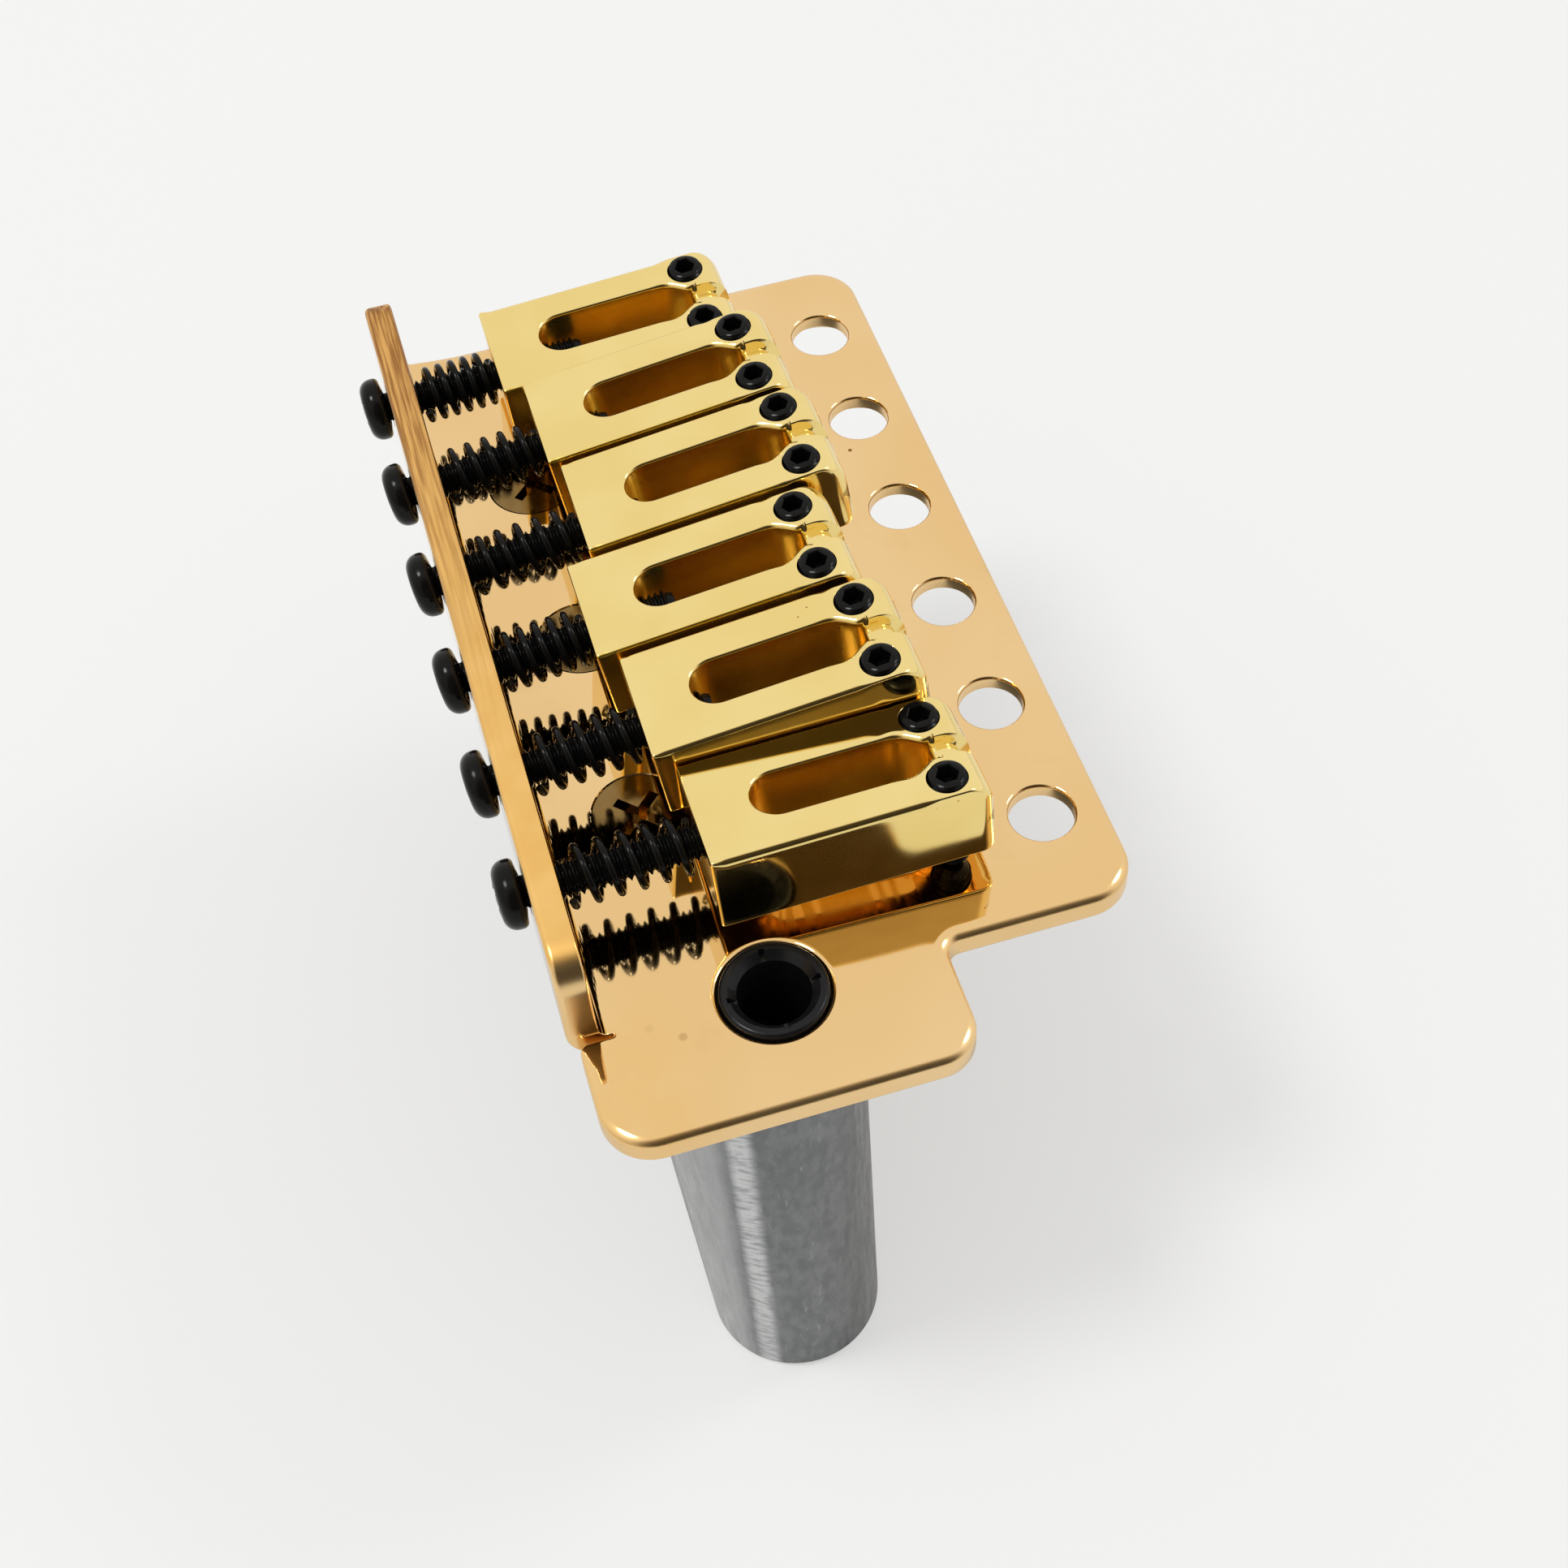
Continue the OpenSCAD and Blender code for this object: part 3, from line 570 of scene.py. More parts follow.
def saddle(i, material):
    """A block with a slot and two screw holes, drawn in plan and then formed. Its upper edge is
    round on the open sides, tighter by the height screws and at the back, and tighter and duller
    where it faces another saddle, less so across the wide gap between saddles 5 and 6. Its walls
    are marked for a painted amber reflection, strongly where they face another saddle and faintly
    on the open sides."""
    half, long, high = SADDLE_HALF, SADDLE_LONG, SADDLE_TOP - SADDLE_FLOOR
    corners = [(-half, 0, BACK_CORNER_R), (half, 0, BACK_CORNER_R),
               (half, long, NOSE_CORNER_R), (-half, long, NOSE_CORNER_R)]
    outline = cut_sides(rounded_outline(corners), (), 0.2)
    x, y = outline.T
    beside = (x > half - 0.1) & (i < 5) | (x < 0.1 - half) & (i > 0)
    open_gap = np.where((x > 0) & (i == WIDE_GAP_SADDLE), WIDE_GAP_SHARE, 1.0)
    facing = beside * open_gap * ease((GAP_LONG - y) / 2)
    near = ease(1.6 - np.abs(y - HEIGHT_SCREW_Y) / 1.6)
    edge = SIDE_EDGE + (TIGHT_EDGE - SIDE_EDGE) * near - 0.4 * ease(1 - y / 1.2)
    edge = edge + (GAP_EDGE - edge) * facing * (1 - near) * ease(y / 1.2)
    slot = slot_loop()
    shoulder = SHOULDER + (SHOULDER_FRONT - SHOULDER) * ease((slot[:, 1] - SHOULDER_FROM) / 1.6)
    loops = [outline, slot]
    sections = [round_edges(edge, 0.2, high, walls=14), round_edges(shoulder, 0.2, high, walls=6)]
    # Painted reflection: these shares set how much amber colour, standing in for bounced light,
    # each wall gets
    inner = [(SIDE_MARK + (GAP_MARK - SIDE_MARK) * facing,
              SIDE_DEPTH + (GAP_DEPTH - SIDE_DEPTH) * facing), (1.0, HOLE_DEPTH)]
    for x in (-HEIGHT_SCREW_X, HEIGHT_SCREW_X):
        loops.append(circle(x, HEIGHT_SCREW_Y, SCREW_R + 0.05, 48))
        sections.append(round_edges(0.06, 0.05, high))
        inner.append((0.0, HOLE_DEPTH))
    shell = Shell()
    slab(shell, loops, sections, inner, (), saddle_grain(), 0.04)
    shell.points = [on_saddle(form_saddle(p), i) for p in shell.points]
    n = i + 1
    return make_piece(f"block_saddle_{n}", shell, f"saddle_{n}", material,
                      [f"saddle_{n}"], 50)


# The bush

def arm_bush(material):
    """A sleeve turned from one profile, its mouth's chamfer cut by four notches: within half a
    notch's width of a quarter turn, the height is held down to the notch's floor."""
    low, seat, rim = -SHEET - BUSH_LONG, -SHEET + 0.02, FLANGE_R - FLANGE_HIGH
    profile = [(BUSH_R, seat), (BUSH_R, low), (BUSH_BORE_R, low), (BUSH_BORE_R, MOUTH_LOW)]
    profile += [(BUSH_BORE_R + (BUSH_MOUTH_R - BUSH_BORE_R) * t, MOUTH_LOW + MOUTH_RISE * t)
                for t in (0.0, 0.05, 0.5, 0.95, 1.0)]
    profile += [(BUSH_MOUTH_R + 0.13, FLANGE_HIGH), (BUSH_MOUTH_R + 0.15, FLANGE_HIGH)]
    profile += [(rim + FLANGE_HIGH * math.sin(t), FLANGE_HIGH * math.cos(t))
                for t in np.radians(np.linspace(0, 90, 7))]
    profile += [(FLANGE_R, seat), (BUSH_R, seat)]
    notch = math.degrees(BUSH_NOTCH_HALF / BUSH_NOTCH_AT)
    turns = (-notch, -notch + 0.6, 0, notch - 0.6, notch, *np.arange(8, 86, 4.0))
    a = np.radians(np.array([q * 90 + d for q in range(4) for d in turns]))
    r, z = np.array(profile).T[:, :, None] * np.ones(len(a))
    off = np.abs((np.degrees(a) + 45) % 90 - 45)
    cut = (off < notch - 0.3)[None] & (r < BUSH_MOUTH_R + 0.14) & (z > MOUTH_LOW - 0.05)
    z = np.where(cut, np.minimum(z, MOUTH_LOW), z)
    shell = Shell()
    shell.sheet(np.stack([ARM[0] + r * np.cos(a), ARM[1] + r * np.sin(a), z], 2), wrap=True)
    return make_piece("arm_collar", shell, "bridge", material, ["arm_bush"], 40)


# Screws and springs

def thread(angle, along):
    """Radius of a threaded shank: a smoothed triangle wave of the way along, less the turn."""
    phase = (along / THREAD_PITCH - angle / (2 * math.pi)) % 1.0
    return SCREW_R - THREAD_DEPTH * ease(1.12 * np.abs(2 * phase - 1))


def threaded_rows(start, end, sides=32, per_pitch=8):
    """Rows of a threaded shank along Y, as a grid of rings."""
    along = np.arange(start, end, THREAD_PITCH / per_pitch)
    angle = np.linspace(0, 2 * math.pi, sides, endpoint=False)
    y, a = np.meshgrid(along, angle, indexing="ij")
    r = thread(a, y)
    fade = np.clip(np.minimum(y - start, end - y) / 0.3, 0, 1)
    r = (SCREW_R - THREAD_DEPTH) + (r - SCREW_R + THREAD_DEPTH) * fade
    return np.stack([r * np.cos(a), y, -r * np.sin(a)], 2)


def ring(r, y, sides=32):
    """One ring about Y; r may vary with the angle."""
    a = np.linspace(0, 2 * math.pi, sides, endpoint=False)
    return np.stack([r * np.cos(a), np.full(sides, y), -r * np.sin(a)], 1)


def intonation_screw(i, material):
    """Threaded shank, domed pan head and a cross recess: the head's underside is a shallow cone,
    so that it clears the lip as the screw tilts, and its outer face sinks by a depth that falls
    away from the cross's two arms."""
    under = -SHEET / 2 - HEAD_GAP
    shell = Shell()
    shank = threaded_rows(under, SCREW_TIP - TIP_LONG)
    shank = np.concatenate([shank, ring(SCREW_R - TIP_IN, SCREW_TIP)[None]])
    shell.sheet(shank, wrap=True)
    shell.fan(shank[-1], (0, SCREW_TIP, 0))
    a = np.radians(np.linspace(0, 90, 8))
    top, neck, crown = under - HEAD_HIGH, SCREW_R - 0.2, HEAD_R - HEAD_DOME
    foot = HEAD_R - HEAD_SOFT
    seat = under - HEAD_DISH * (foot - neck) - HEAD_SOFT
    profile = [(neck, under)]
    profile += [(foot + HEAD_SOFT * math.sin(t), seat + HEAD_SOFT * math.cos(t)) for t in a]
    profile += [(crown + HEAD_DOME * math.cos(t), top + HEAD_DOME - HEAD_DOME * math.sin(t))
                for t in a]
    profile += [(r, top - 0.1 * (1 - (r / crown) ** 2)) for r in np.linspace(crown, 0.02, 14)[1:]]
    rows = np.stack([ring(r, y, 64) for r, y in profile])
    x, z = np.abs(rows[..., 0]), np.abs(rows[..., 2])
    arm = np.minimum(np.maximum(x - CROSS_HALF, z / 9), np.maximum(z - CROSS_HALF, x / 9))
    sunk = np.clip(1 - arm / 0.22, 0, 1) * np.clip((CROSS_R - np.hypot(x, z)) / 0.5, 0, 1)
    rows[..., 1] += np.where(rows[..., 1] < top + 0.3, CROSS_DEEP * sunk, 0)
    shell.sheet(rows[:, ::-1], wrap=True)
    shell.fan(rows[-1], rows[-1].mean(0))
    shell.points = [on_screw(p, i) for p in shell.points]
    n = i + 1
    return make_piece(f"intonation_screw_{n}_threaded", shell, f"screw_{n}",
                      material, [f"intonation_screw_{n}"], 38)


def height_screw(i, side, material):
    """Threaded shank with a tapered foot and a hexagon socket. The foot stands clear of the
    plate. The socket's wall is where its distance from the axis meets the flat: half the flats'
    width over the cosine of the angle to the flat's middle."""
    rise, lean = math.radians(RISES[i]), math.radians(LEANS[i])
    back_z = LIP_HOLE_Z + reach(i) * math.sin(rise)
    foot = ((FOOT_GAP - back_z) / math.cos(rise) - HEIGHT_SCREW_Y * math.tan(rise)
            - side * HEIGHT_SCREW_X * math.sin(lean)) / math.cos(lean)
    top = SADDLE_TOP + SCREW_PROUD
    sides = 36
    a = np.linspace(0, 2 * math.pi, sides, endpoint=False)
    hexagon = SOCKET_HALF / np.cos((a + math.pi / 6) % (math.pi / 3) - math.pi / 6)
    shank = threaded_rows(foot + 0.5, top - 0.22, sides)
    rows = [ring(0.02, foot, sides), ring(FOOT_R, foot, sides), *shank,
            ring(SCREW_R - 0.1, top - 0.12, sides), ring(SCREW_R - 0.28, top, sides),
            ring(hexagon * 1.12, top, sides), ring(hexagon, top - 0.09, sides),
            ring(hexagon, top - SOCKET_DEEP, sides), ring(0.02, top - SOCKET_DEEP - 0.1, sides)]
    grid = np.stack(rows)
    shell = Shell()
    shell.sheet(grid, wrap=True)
    shell.fan(grid[0][::-1], grid[0].mean(0))
    shell.fan(grid[-1], grid[-1].mean(0))
    place = np.array([side * HEIGHT_SCREW_X, HEIGHT_SCREW_Y, 0])
    shell.points = [on_saddle(p[:, [0, 2, 1]] + place, i) for p in shell.points]
    n, name = i + 1, "bass" if side < 0 else "treble"
    return make_piece(f"height_screw_{n}_{name}_threaded", shell, f"height_{n}_{name}",
                      material, [f"height_screw_{n}_{name}"], 38)


def intonation_spring(i, material):
    """Round wire wound on a helix: the centre turns about the screw as it runs along it, and the
    wire's ring stands square to the helix."""
    start = SHEET / 2 + SPRING_FROM_LIP + WIRE_R
    end = reach(i) - SPRING_TO_SADDLE - WIRE_R
    u = np.linspace(0, 1, int(SPRING_TURNS * 32) + 1)
    angle = 2 * math.pi * SPRING_TURNS * u
    y = start + (end - start) * u
    centre = np.stack([COIL_R * np.cos(angle), y, -COIL_R * np.sin(angle)], 1)
    out = np.stack([np.cos(angle), np.zeros_like(angle), -np.sin(angle)], 1)
    along = np.gradient(centre, axis=0)
    along /= np.linalg.norm(along, axis=1)[:, None]
    over = np.cross(along, out)
    b = np.linspace(0, 2 * math.pi, 12, endpoint=False)[None, :, None]
    grid = centre[:, None] + WIRE_R * (out[:, None] * np.cos(b) + over[:, None] * np.sin(b))
    shell = Shell()
    shell.sheet(grid, wrap=True)
    shell.fan(grid[0][::-1], centre[0])
    shell.fan(grid[-1], centre[-1])
    shell.points = [on_screw(p, i) for p in shell.points]
    n = i + 1
    spring = make_piece(f"intonation_spring_{n}_wire", shell, None, material,
                        [f"intonation_spring_{n}"], 60)
    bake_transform(spring)
    return spring


# Finishes

def add_node(tree, kind, inputs=None, **settings):
    """A node in a tree, its inputs joined to sockets or set to values."""
    made = tree.nodes.new(kind)
    for key, value in settings.items():
        setattr(made, key, value)
    for key, value in (inputs or {}).items():
        if isinstance(value, bpy.types.NodeSocket):
            tree.links.new(value, made.inputs[key])
        else:
            made.inputs[key].default_value = value
    return made


class Finish:
    """A material whose nodes are joined by short calls. Lengths of patterns are in mm."""

    def __init__(self, name, **sockets):
        self.material = bpy.data.materials.new(name)
        self.material.use_nodes = True
        self.tree = self.material.node_tree
        self.shader = self.tree.nodes["Principled BSDF"]
        self.place = self.node("ShaderNodeTexCoord").outputs["Object"]
        for socket, value in sockets.items():
            self.shader.inputs[socket.replace("_", " ")].default_value = value

    def node(self, kind, inputs=None, **settings):
        """A node in this material."""
        return add_node(self.tree, kind, inputs, **settings)

    def inner(self):
        """The share by which a place counts as inner."""
        return self.node("ShaderNodeAttribute", attribute_name="inner").outputs["Fac"]

    def mapped(self, scale, seed):
        """The place, scaled along its axes and moved by a seed."""
        return self.node("ShaderNodeMapping", {"Vector": self.place, "Scale": scale,
                                               "Location": (seed, seed, seed)}).outputs[0]

    def noise(self, length, stretch=(1, 1, 1), detail=2.0, seed=0.0):
        """Smooth noise with features about a length across, longer along a stretched axis."""
        place = self.mapped([1 / (length * MM * s) for s in stretch], seed)
        return self.node("ShaderNodeTexNoise", {"Vector": place, "Scale": 1.0,
                                                "Detail": detail}).outputs["Fac"]

    def cells(self, length, seed=0.0):
        """Distance to the nearest of scattered points, about a length apart."""
        place = self.mapped([1 / (length * MM)] * 3, seed)
        spread = self.node("ShaderNodeTexVoronoi", {"Vector": place, "Scale": 1.0})
        return spread.outputs["Distance"]

    def span(self, value, low, high, first=0.0, last=1.0):
        """The value's span from low to high, mapped smoothly from first to last."""
        return self.node("ShaderNodeMapRange", {"Value": value, "From Min": low, "From Max": high,
                                                "To Min": first, "To Max": last},
                         interpolation_type="SMOOTHSTEP").outputs[0]

    def math(self, operation, a, b=0.0):
        """A sum, product or the like of one or two values."""
        return self.node("ShaderNodeMath", {0: a, 1: b}, operation=operation).outputs[0]

    def axis(self, name):
        """One coordinate of the place, in mm."""
        parts = self.node("ShaderNodeSeparateXYZ", {"Vector": self.place})
        return self.math("MULTIPLY", parts.outputs[name], 1000.0)

    def blend(self, share, first, second):
        """Two colours mixed by a share."""
        mix = self.node("ShaderNodeMix", data_type="RGBA")
        for key, value in ((0, share), (6, first), (7, second)):
            if isinstance(value, bpy.types.NodeSocket):
                self.tree.links.new(value, mix.inputs[key])
            else:
                mix.inputs[key].default_value = value if key == 0 else (*value, 1)
        return mix.outputs[2]

    def spot(self, x, y, z, r, soft=0.5):
        """One within a radius of a point, and nought outside it."""
        far = self.node("ShaderNodeVectorMath", {0: self.place, 1: (x * MM, y * MM, z * MM)},
                        operation="DISTANCE").outputs["Value"]
        return self.span(far, r * MM, r * (1 + soft) * MM, 1.0, 0.0)

    def relief(self, *layers):
        """Bump from heights, each with its depth in mm."""
        normal = None
        for height, depth in layers:
            inputs = {"Height": height, "Strength": 1.0, "Distance": depth * MM}
            if normal is not None:
                inputs["Normal"] = normal
            normal = self.node("ShaderNodeBump", inputs).outputs[0]
        self.tree.links.new(normal, self.shader.inputs["Normal"])

    def set(self, socket, value):
        """Joins a value to one of the shader's sockets."""
        self.tree.links.new(value, self.shader.inputs[socket])


def gold_sheet():
    """Plate: warm gold over polished steel, slightly wavy, with faint tarnish, fine rubs and
    small specks. The top of its lip is a deeper gold, brushed towards the bass end, and its rims
    are dull."""
    f = Finish("gold_sheet", Metallic=1.0)
    cloud = f.span(f.noise(22, seed=3), 0.35, 0.65)
    warm = f.blend(cloud, (0.83, 0.560, 0.255), (0.86, 0.610, 0.305))
    tarnish = f.span(f.noise(6, detail=5, seed=7), 0.58, 0.75, 0.0, 0.16)
    warm = f.blend(tarnish, warm, (0.62, 0.34, 0.12))
    corner = f.math("MULTIPLY", f.span(f.axis("X"), 33, 40),
                    f.span(f.axis("Y"), -29, -34, 0.0, 0.55))
    corner = f.math("MULTIPLY", corner, f.span(f.noise(4, detail=3, seed=11), 0.3, 0.6, 0.4, 1.0))
    warm = f.blend(corner, warm, (0.84, 0.525, 0.185))
    specks = f.span(f.cells(9, seed=2), 0.012, 0.02, 0.7, 0.0)
    specks = f.math("MAXIMUM", f.spot(*MARK_SPECK, 0.14), specks)
    for place, strength in MARKS_FAINT:
        faint = f.math("MULTIPLY", f.spot(*place, 0.17, 1.6), strength)
        specks = f.math("MAXIMUM", specks, faint)
    cut = f.span(f.axis("Z"), LIP_TOP - 0.9, LIP_TOP - 0.3)
    streaks = f.noise(0.3, stretch=(26, 1, 1), detail=3)
    brushed = f.math("MULTIPLY", cut, f.span(f.axis("X"), 22, -30, 0.0, 1.0))
    worn = f.blend(f.span(streaks, 0.38, 0.62), (0.33, 0.145, 0.040), (0.70, 0.40, 0.125))
    cloud = f.span(f.noise(3, seed=4), 0.3, 0.7)
    deep = f.blend(cloud, (0.84, 0.500, 0.150), (0.88, 0.550, 0.185))
    warm = f.blend(cut, warm, deep)
    warm = f.blend(brushed, warm, worn)
    f.set("Base Color", f.blend(specks, warm, (0.30, 0.13, 0.035)))
    rough = f.span(f.noise(9, detail=4), 0.3, 0.75, 0.025, 0.075)
    rough = f.math("ADD", rough, f.math("MULTIPLY", brushed, 0.2))
    f.set("Roughness", f.math("ADD", rough, f.math("MULTIPLY", f.inner(), 0.4)))
    rubs = f.noise(0.35, stretch=(1, 14, 14), detail=3, seed=5)
    f.relief((f.noise(5, detail=1), 0.012), (rubs, 0.00015),
             (f.math("MULTIPLY", streaks, brushed), 0.006))
    return f.material


def gold_block():
    """Saddles: a yellower gold over a cast and polished block, with soft waves and pinholes. Its
    inner walls, and its sides by the share they are marked, are duller and get a painted amber
    reflection in their colour, standing in for light that has met gold several times before it
    comes back from there."""
    f = Finish("gold_block", Metallic=1.0)
    cloud = f.span(f.noise(8, seed=1), 0.3, 0.7)
    tone = f.blend(cloud, (0.86, 0.665, 0.250), (0.90, 0.715, 0.300))
    pits = f.span(f.cells(3.1, seed=4), 0.02, 0.035, 0.8, 0.0)
    inner = f.inner()
    # Painted reflection: the inner share turns the colour amber, standing in for light bounced
    # between gold walls
    amber = f.blend(f.noise(2.2, seed=5), (0.72, 0.43, 0.030), (0.93, 0.66, 0.080))
    tone = f.blend(inner, tone, amber)
    f.set("Base Color", f.blend(pits, tone, (0.26, 0.13, 0.02)))
    rough = f.span(f.noise(5, detail=4, seed=6), 0.3, 0.75, 0.05, 0.11)
    f.set("Roughness", f.math("ADD", rough, f.math("MULTIPLY", inner, 0.24)))
    f.relief((f.noise(4.5, detail=1, seed=2), 0.014), (f.noise(0.9, detail=1, seed=8), 0.0006))
    return f.material


def gold_fastener_painted_dark():
    """Block screws: plated and polished, their colour painted dark as a painted reflection of the
    dark things they mirror.
    """
    f = Finish("gold_fastener_painted_dark", Metallic=1.0)
    # Painted reflection: a dark brown base colour in place of the dark surroundings these heads
    # mirror
    f.set("Base Color", f.blend(f.noise(1.5), (0.19, 0.115, 0.038), (0.31, 0.195, 0.07)))
    f.set("Roughness", f.span(f.noise(1, detail=3), 0.3, 0.7, 0.06, 0.14))
    f.relief((f.noise(0.8, detail=1), 0.003))
    return f.material


def bare_zinc():
    """Block: cast zinc drawn over a belt, with long upright marks, mottling and a few nicks. A
    painted highlight runs as a bright stripe down its round end, and the round end's side towards
    the light is painted lighter."""
    f = Finish("bare_zinc", Metallic=1.0)
    mottle = f.span(f.noise(0.9, stretch=(1, 1, 2.2), detail=5), 0.34, 0.66)
    tone = f.blend(mottle, (0.122, 0.128, 0.130), (0.168, 0.175, 0.176))
    scuffs = f.span(f.noise(0.45, stretch=(1, 1, 5), detail=4, seed=6), 0.62, 0.78, 0.0, 0.5)
    tone = f.blend(scuffs, tone, (0.36, 0.37, 0.37))
    # Painted highlight: a bright stripe down the round end, where a lamp's glint would run
    along_x, along_y = HIGHLIGHT_WAY
    across = f.math("ADD", f.math("MULTIPLY", f.axis("X"), along_x),
                    f.math("MULTIPLY", f.axis("Y"), along_y))
    painted_highlight = f.span(f.math("ABSOLUTE", f.math("SUBTRACT", across, HIGHLIGHT_AT)), 0.35, 1.3, 1.0, 0.0)
    painted_highlight = f.math("MULTIPLY", painted_highlight, f.span(f.axis("X"), 38, 40))
    broken = f.noise(0.5, stretch=(3, 3, 1), detail=4, seed=8)
    painted_highlight = f.math("MULTIPLY", painted_highlight, f.span(broken, 0.3, 0.6, 0.35, 0.9))
    # Painted light: the round end's side towards the light is made lighter
    painted_lit_side = f.math("MULTIPLY", f.span(across, -3.0, -5.0, 0.0, 0.45), f.span(f.axis("X"), 36, 40))
    tone = f.blend(f.math("MAXIMUM", painted_highlight, painted_lit_side), tone, (0.62, 0.63, 0.63))
    nicks = f.span(f.cells(1.7, seed=3), 0.05, 0.1, 0.35, 0.0)
    f.set("Base Color", f.blend(nicks, tone, (0.15, 0.16, 0.165)))
    lines = f.noise(0.14, stretch=(1, 1, 26), detail=4, seed=2)
    f.set("Roughness", f.span(f.noise(0.7, stretch=(1, 1, 8), detail=4), 0.3, 0.7, 0.22, 0.36))
    f.relief((lines, 0.02), (f.noise(0.25, detail=4, seed=9), 0.012), (f.noise(3, detail=2), 0.05))
    return f.material


def black_steel():
    """Screws: blackened steel, oily, a little paler in patches."""
    f = Finish("blackened_screw", Metallic=0.0, Specular_IOR_Level=0.13)
    tone = f.blend(f.noise(0.8, detail=4), (0.002, 0.002, 0.002), (0.008, 0.0075, 0.007))
    f.set("Base Color", tone)
    f.set("Roughness", f.span(f.noise(0.6, detail=4, seed=3), 0.3, 0.7, 0.1, 0.2))
    f.relief((f.noise(0.4, detail=2), 0.004))
    return f.material


def black_wire():
    """Springs: drawn wire under a thin black coat, with faint marks round the wire."""
    f = Finish("blackened_wire", Metallic=0.0, Specular_IOR_Level=0.12)
    tone = f.blend(f.noise(0.5, detail=4), (0.002, 0.002, 0.002), (0.007, 0.007, 0.0065))
    f.set("Base Color", tone)
    f.set("Roughness", f.span(f.noise(0.4, detail=3, seed=3), 0.3, 0.7, 0.06, 0.13))
    f.relief((f.noise(0.4, detail=2), 0.003))
    return f.material


def black_collar():
    """Arm bush: moulded black plastic, its gloss varying in patches."""
    f = Finish("moulded_black", Metallic=0.0, Specular_IOR_Level=0.2)
    tone = f.blend(f.noise(1.2, detail=4), (0.004, 0.004, 0.0045), (0.012, 0.012, 0.013))
    f.set("Base Color", tone)
    f.set("Roughness", f.span(f.noise(0.8, detail=3, seed=3), 0.3, 0.7, 0.16, 0.3))
    f.relief((f.noise(0.3, detail=3), 0.004))
    return f.material


# The room

def pale_table(colour):
    """Floor: matt, and part of its own pale colour to the camera and in mirrors whatever light it
    gets, so that the object's shadow stays light."""
    f = Finish("pale_table", Roughness=0.6, Specular_IOR_Level=0.1)
    f.set("Base Color", f.blend(f.noise(120, detail=1), colour, tuple(c * 0.985 for c in colour)))
    path = f.node("ShaderNodeLightPath")
    shown = f.math("ADD", f.math("MULTIPLY", path.outputs["Is Camera Ray"], 0.5),
                   f.math("MULTIPLY", path.outputs["Is Glossy Ray"], 0.1))
    bright = (*(c * 1.012 for c in colour), 1)
    glow = f.node("ShaderNodeEmission", {"Color": bright, "Strength": 1.0})
    mix = f.node("ShaderNodeMixShader", {0: shown, 1: f.shader.outputs[0], 2: glow.outputs[0]})
    f.tree.links.new(mix.outputs[0], f.tree.nodes["Material Output"].inputs["Surface"])
    return f.material


def floor_sheet(z):
    """A wide table top at a height in metres."""
    side = np.linspace(-2.5, 2.5, 11)
    x, y = np.meshgrid(side, side)
    shell = Shell()
    shell.sheet(np.stack([x, y, np.full_like(x, z)], 2))
    mesh = bpy.data.meshes.new("table_top")
    mesh.from_pydata(shell.points[0].tolist(), [], shell.faces)
    mesh.materials.append(pale_table(PALE))
    floor = bpy.data.objects.new("table_top", mesh)
    bpy.context.scene.collection.objects.link(floor)


def room():
    """World: an even pale light for matt surfaces, and for mirrors a bright tent all round,
    duller far behind the neck side, with one dark and warm opening to the treble side."""
    world = bpy.data.worlds.new("studio")
    bpy.context.scene.world = world
    world.use_nodes = True
    tree = world.node_tree
    tree.nodes.clear()

    def node(kind, inputs=None, **settings):
        """A node in the world."""
        return add_node(tree, kind, inputs, **settings)

    def plain(colour, strength):
        """An even light of one colour."""
        return node("ShaderNodeBackground", {"Color": colour, "Strength": strength}).outputs[0]

    way = node("ShaderNodeNewGeometry").outputs["Position"]
    way = node("ShaderNodeVectorMath", {0: way}, operation="NORMALIZE").outputs[0]

    def towards(direction, low, high, first, last):
        """A value that goes from first to last as the way turns towards a direction."""
        facing = node("ShaderNodeVectorMath", {0: way, 1: direction}, operation="DOT_PRODUCT")
        return node("ShaderNodeMapRange", {"Value": facing.outputs["Value"], "From Min": low,
                                           "From Max": high, "To Min": first, "To Max": last},
                    interpolation_type="SMOOTHSTEP").outputs[0]

    level = node("ShaderNodeMath", {0: towards(DARK_SIDE, 0.64, 0.91, 0.96, 0.06),
                                    1: towards(TENT, -0.75, 0.35, 0.45, 1.0)},
                 operation="MULTIPLY").outputs[0]
    tint = node("ShaderNodeMix", {0: level, 6: (1, 0.78, 0.52, 1), 7: (1, 0.99, 0.97, 1)},
                data_type="RGBA").outputs[2]
    path = node("ShaderNodeLightPath")
    lit = node("ShaderNodeMixShader", {0: path.outputs["Is Glossy Ray"],
                                       1: plain((1, 1, 1, 1), 0.62), 2: plain(tint, level)})
    seen = node("ShaderNodeMixShader", {0: path.outputs["Is Camera Ray"], 1: lit.outputs[0],
                                        2: plain((0.905, 0.905, 0.89, 1), 1.0)})
    node("ShaderNodeOutputWorld", {"Surface": seen.outputs[0]})


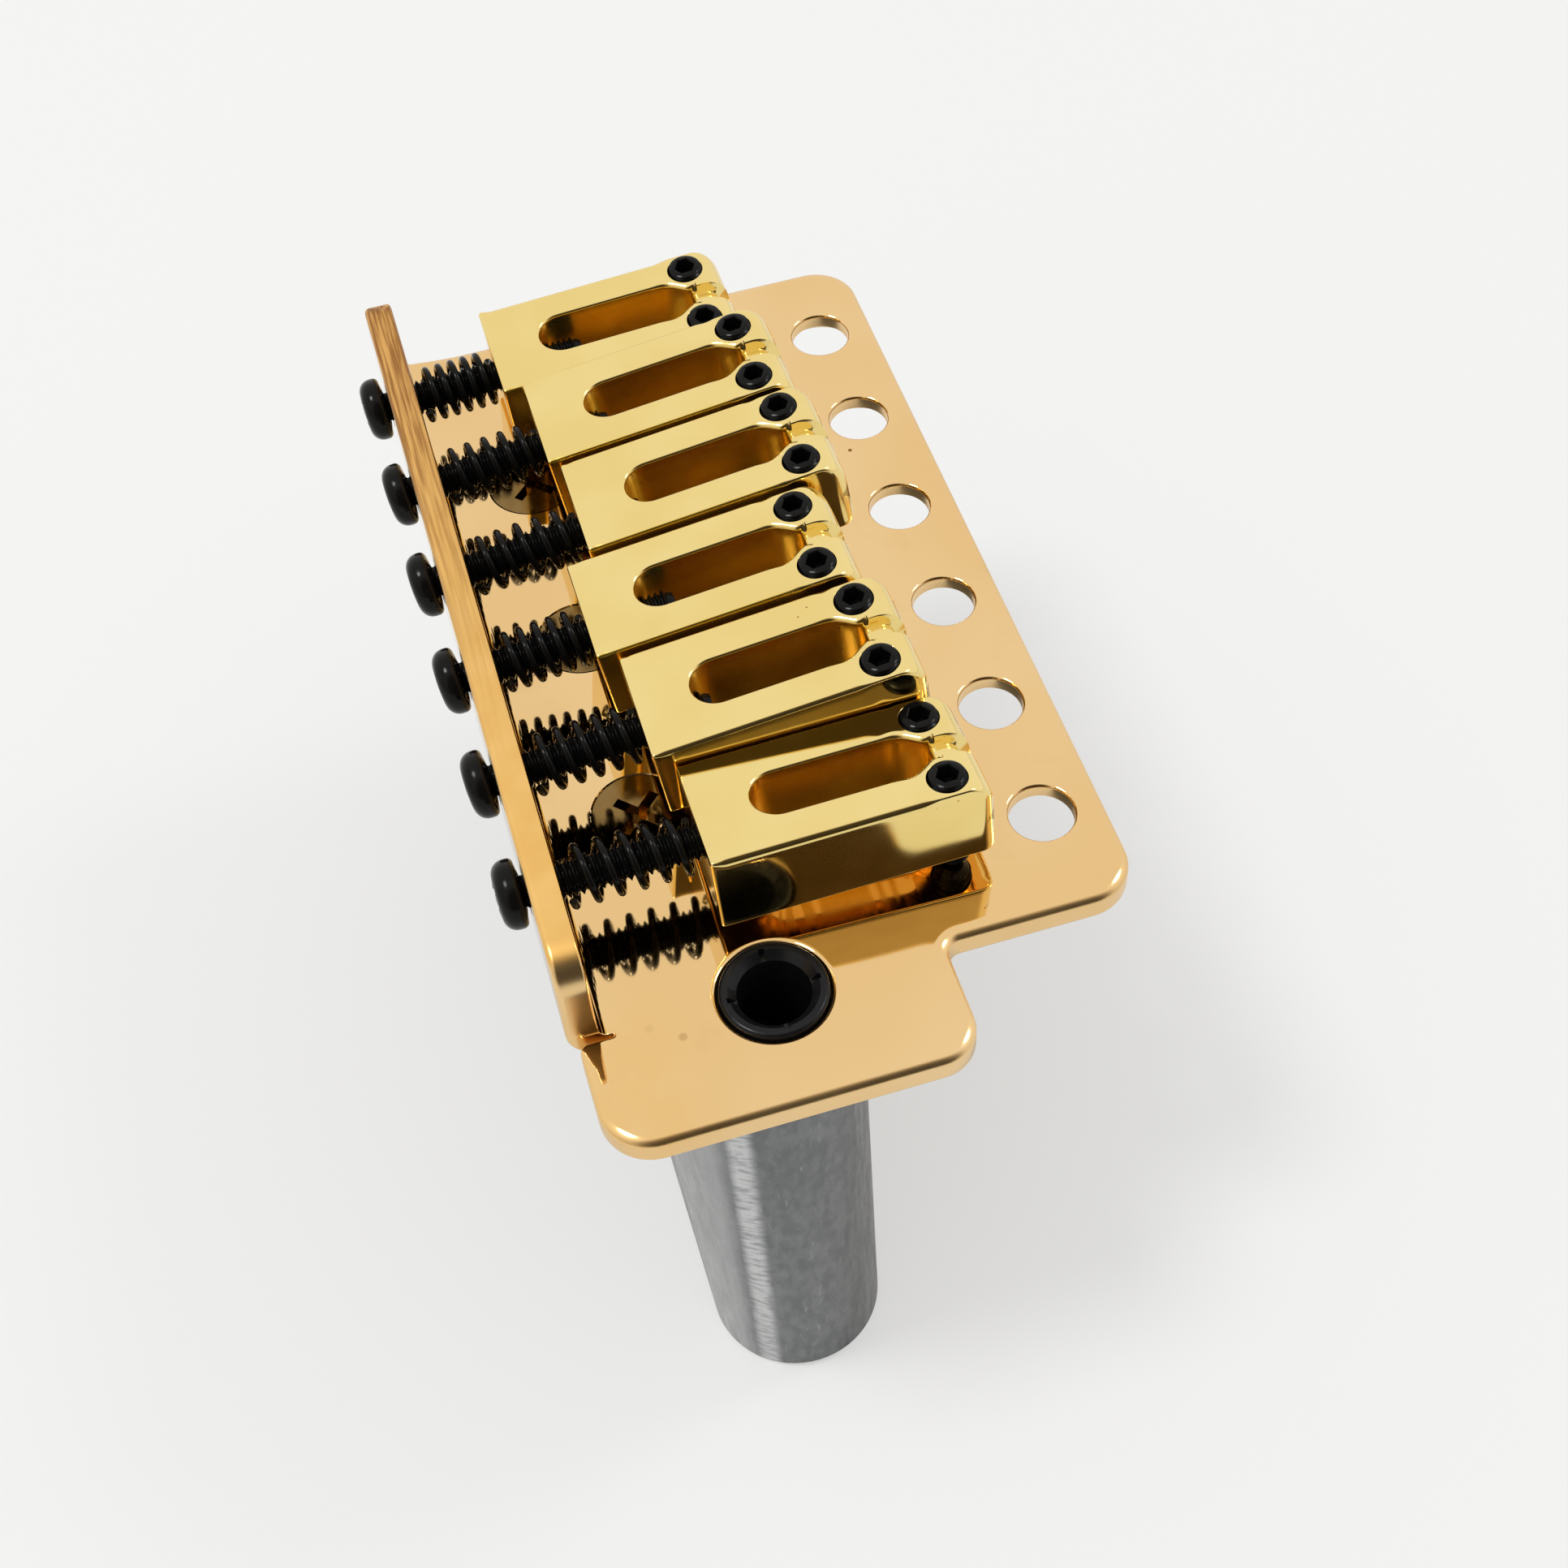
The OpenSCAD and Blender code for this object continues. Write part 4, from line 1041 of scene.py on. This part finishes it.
def lamp(name, place, size, watts):
    """A round soft lamp, turned to the bridge."""
    data = bpy.data.lights.new(name, "AREA")
    data.shape, data.size, data.energy = "DISK", size, watts
    obj = bpy.data.objects.new(name, data)
    obj.location = place
    obj.rotation_euler = (Vector(LAMPS_AIM) - Vector(place)).to_track_quat("-Z", "Y").to_euler()
    bpy.context.scene.collection.objects.link(obj)


def camera():
    """The camera, as fitted to the photograph."""
    data = bpy.data.cameras.new("camera")
    data.lens, data.sensor_width, data.clip_start = LENS, SENSOR, 0.01
    obj = bpy.data.objects.new("camera", data)
    obj.location = CAMERA_PLACE
    obj.rotation_euler = Euler([math.radians(a) for a in CAMERA_TURN])
    bpy.context.scene.collection.objects.link(obj)
    bpy.context.scene.camera = obj


# The bridge

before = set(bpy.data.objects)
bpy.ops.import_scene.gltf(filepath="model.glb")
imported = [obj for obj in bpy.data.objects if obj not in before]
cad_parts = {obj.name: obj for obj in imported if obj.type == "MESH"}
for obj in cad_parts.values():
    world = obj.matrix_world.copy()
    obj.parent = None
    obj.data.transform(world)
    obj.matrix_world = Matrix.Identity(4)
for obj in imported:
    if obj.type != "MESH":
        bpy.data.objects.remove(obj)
cad_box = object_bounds()
camera()

finishes = {
    "gold_plate": gold_sheet(), "saddle_gold": gold_block(), "gold_screw": gold_fastener_painted_dark(),
    "zinc": bare_zinc(), "black_steel": black_steel(), "black_spring": black_wire(),
    "black_plastic": black_collar()}
for node_name in ("tremolo_block", "block_screws"):
    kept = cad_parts[node_name]
    for place in kept.material_slots:
        place.material = finishes[place.material.name.split(".")[0]]

base_plate(finishes["gold_plate"])
arm_bush(finishes["black_plastic"])
for string in range(6):
    saddle(string, finishes["saddle_gold"])
    intonation_screw(string, finishes["black_steel"])
    intonation_spring(string, finishes["black_spring"])
    for side in (-1, 1):
        height_screw(string, side, finishes["black_steel"])

floor_sheet(cad_box[0][2])
room()
lamp("window", (-0.05, -0.67, 1.44), 0.42, 9.0)
lamp("back_window", (-0.13, 1.04, 1.20), 0.42, 3.0)
bpy.context.scene.view_settings.view_transform = "Standard"
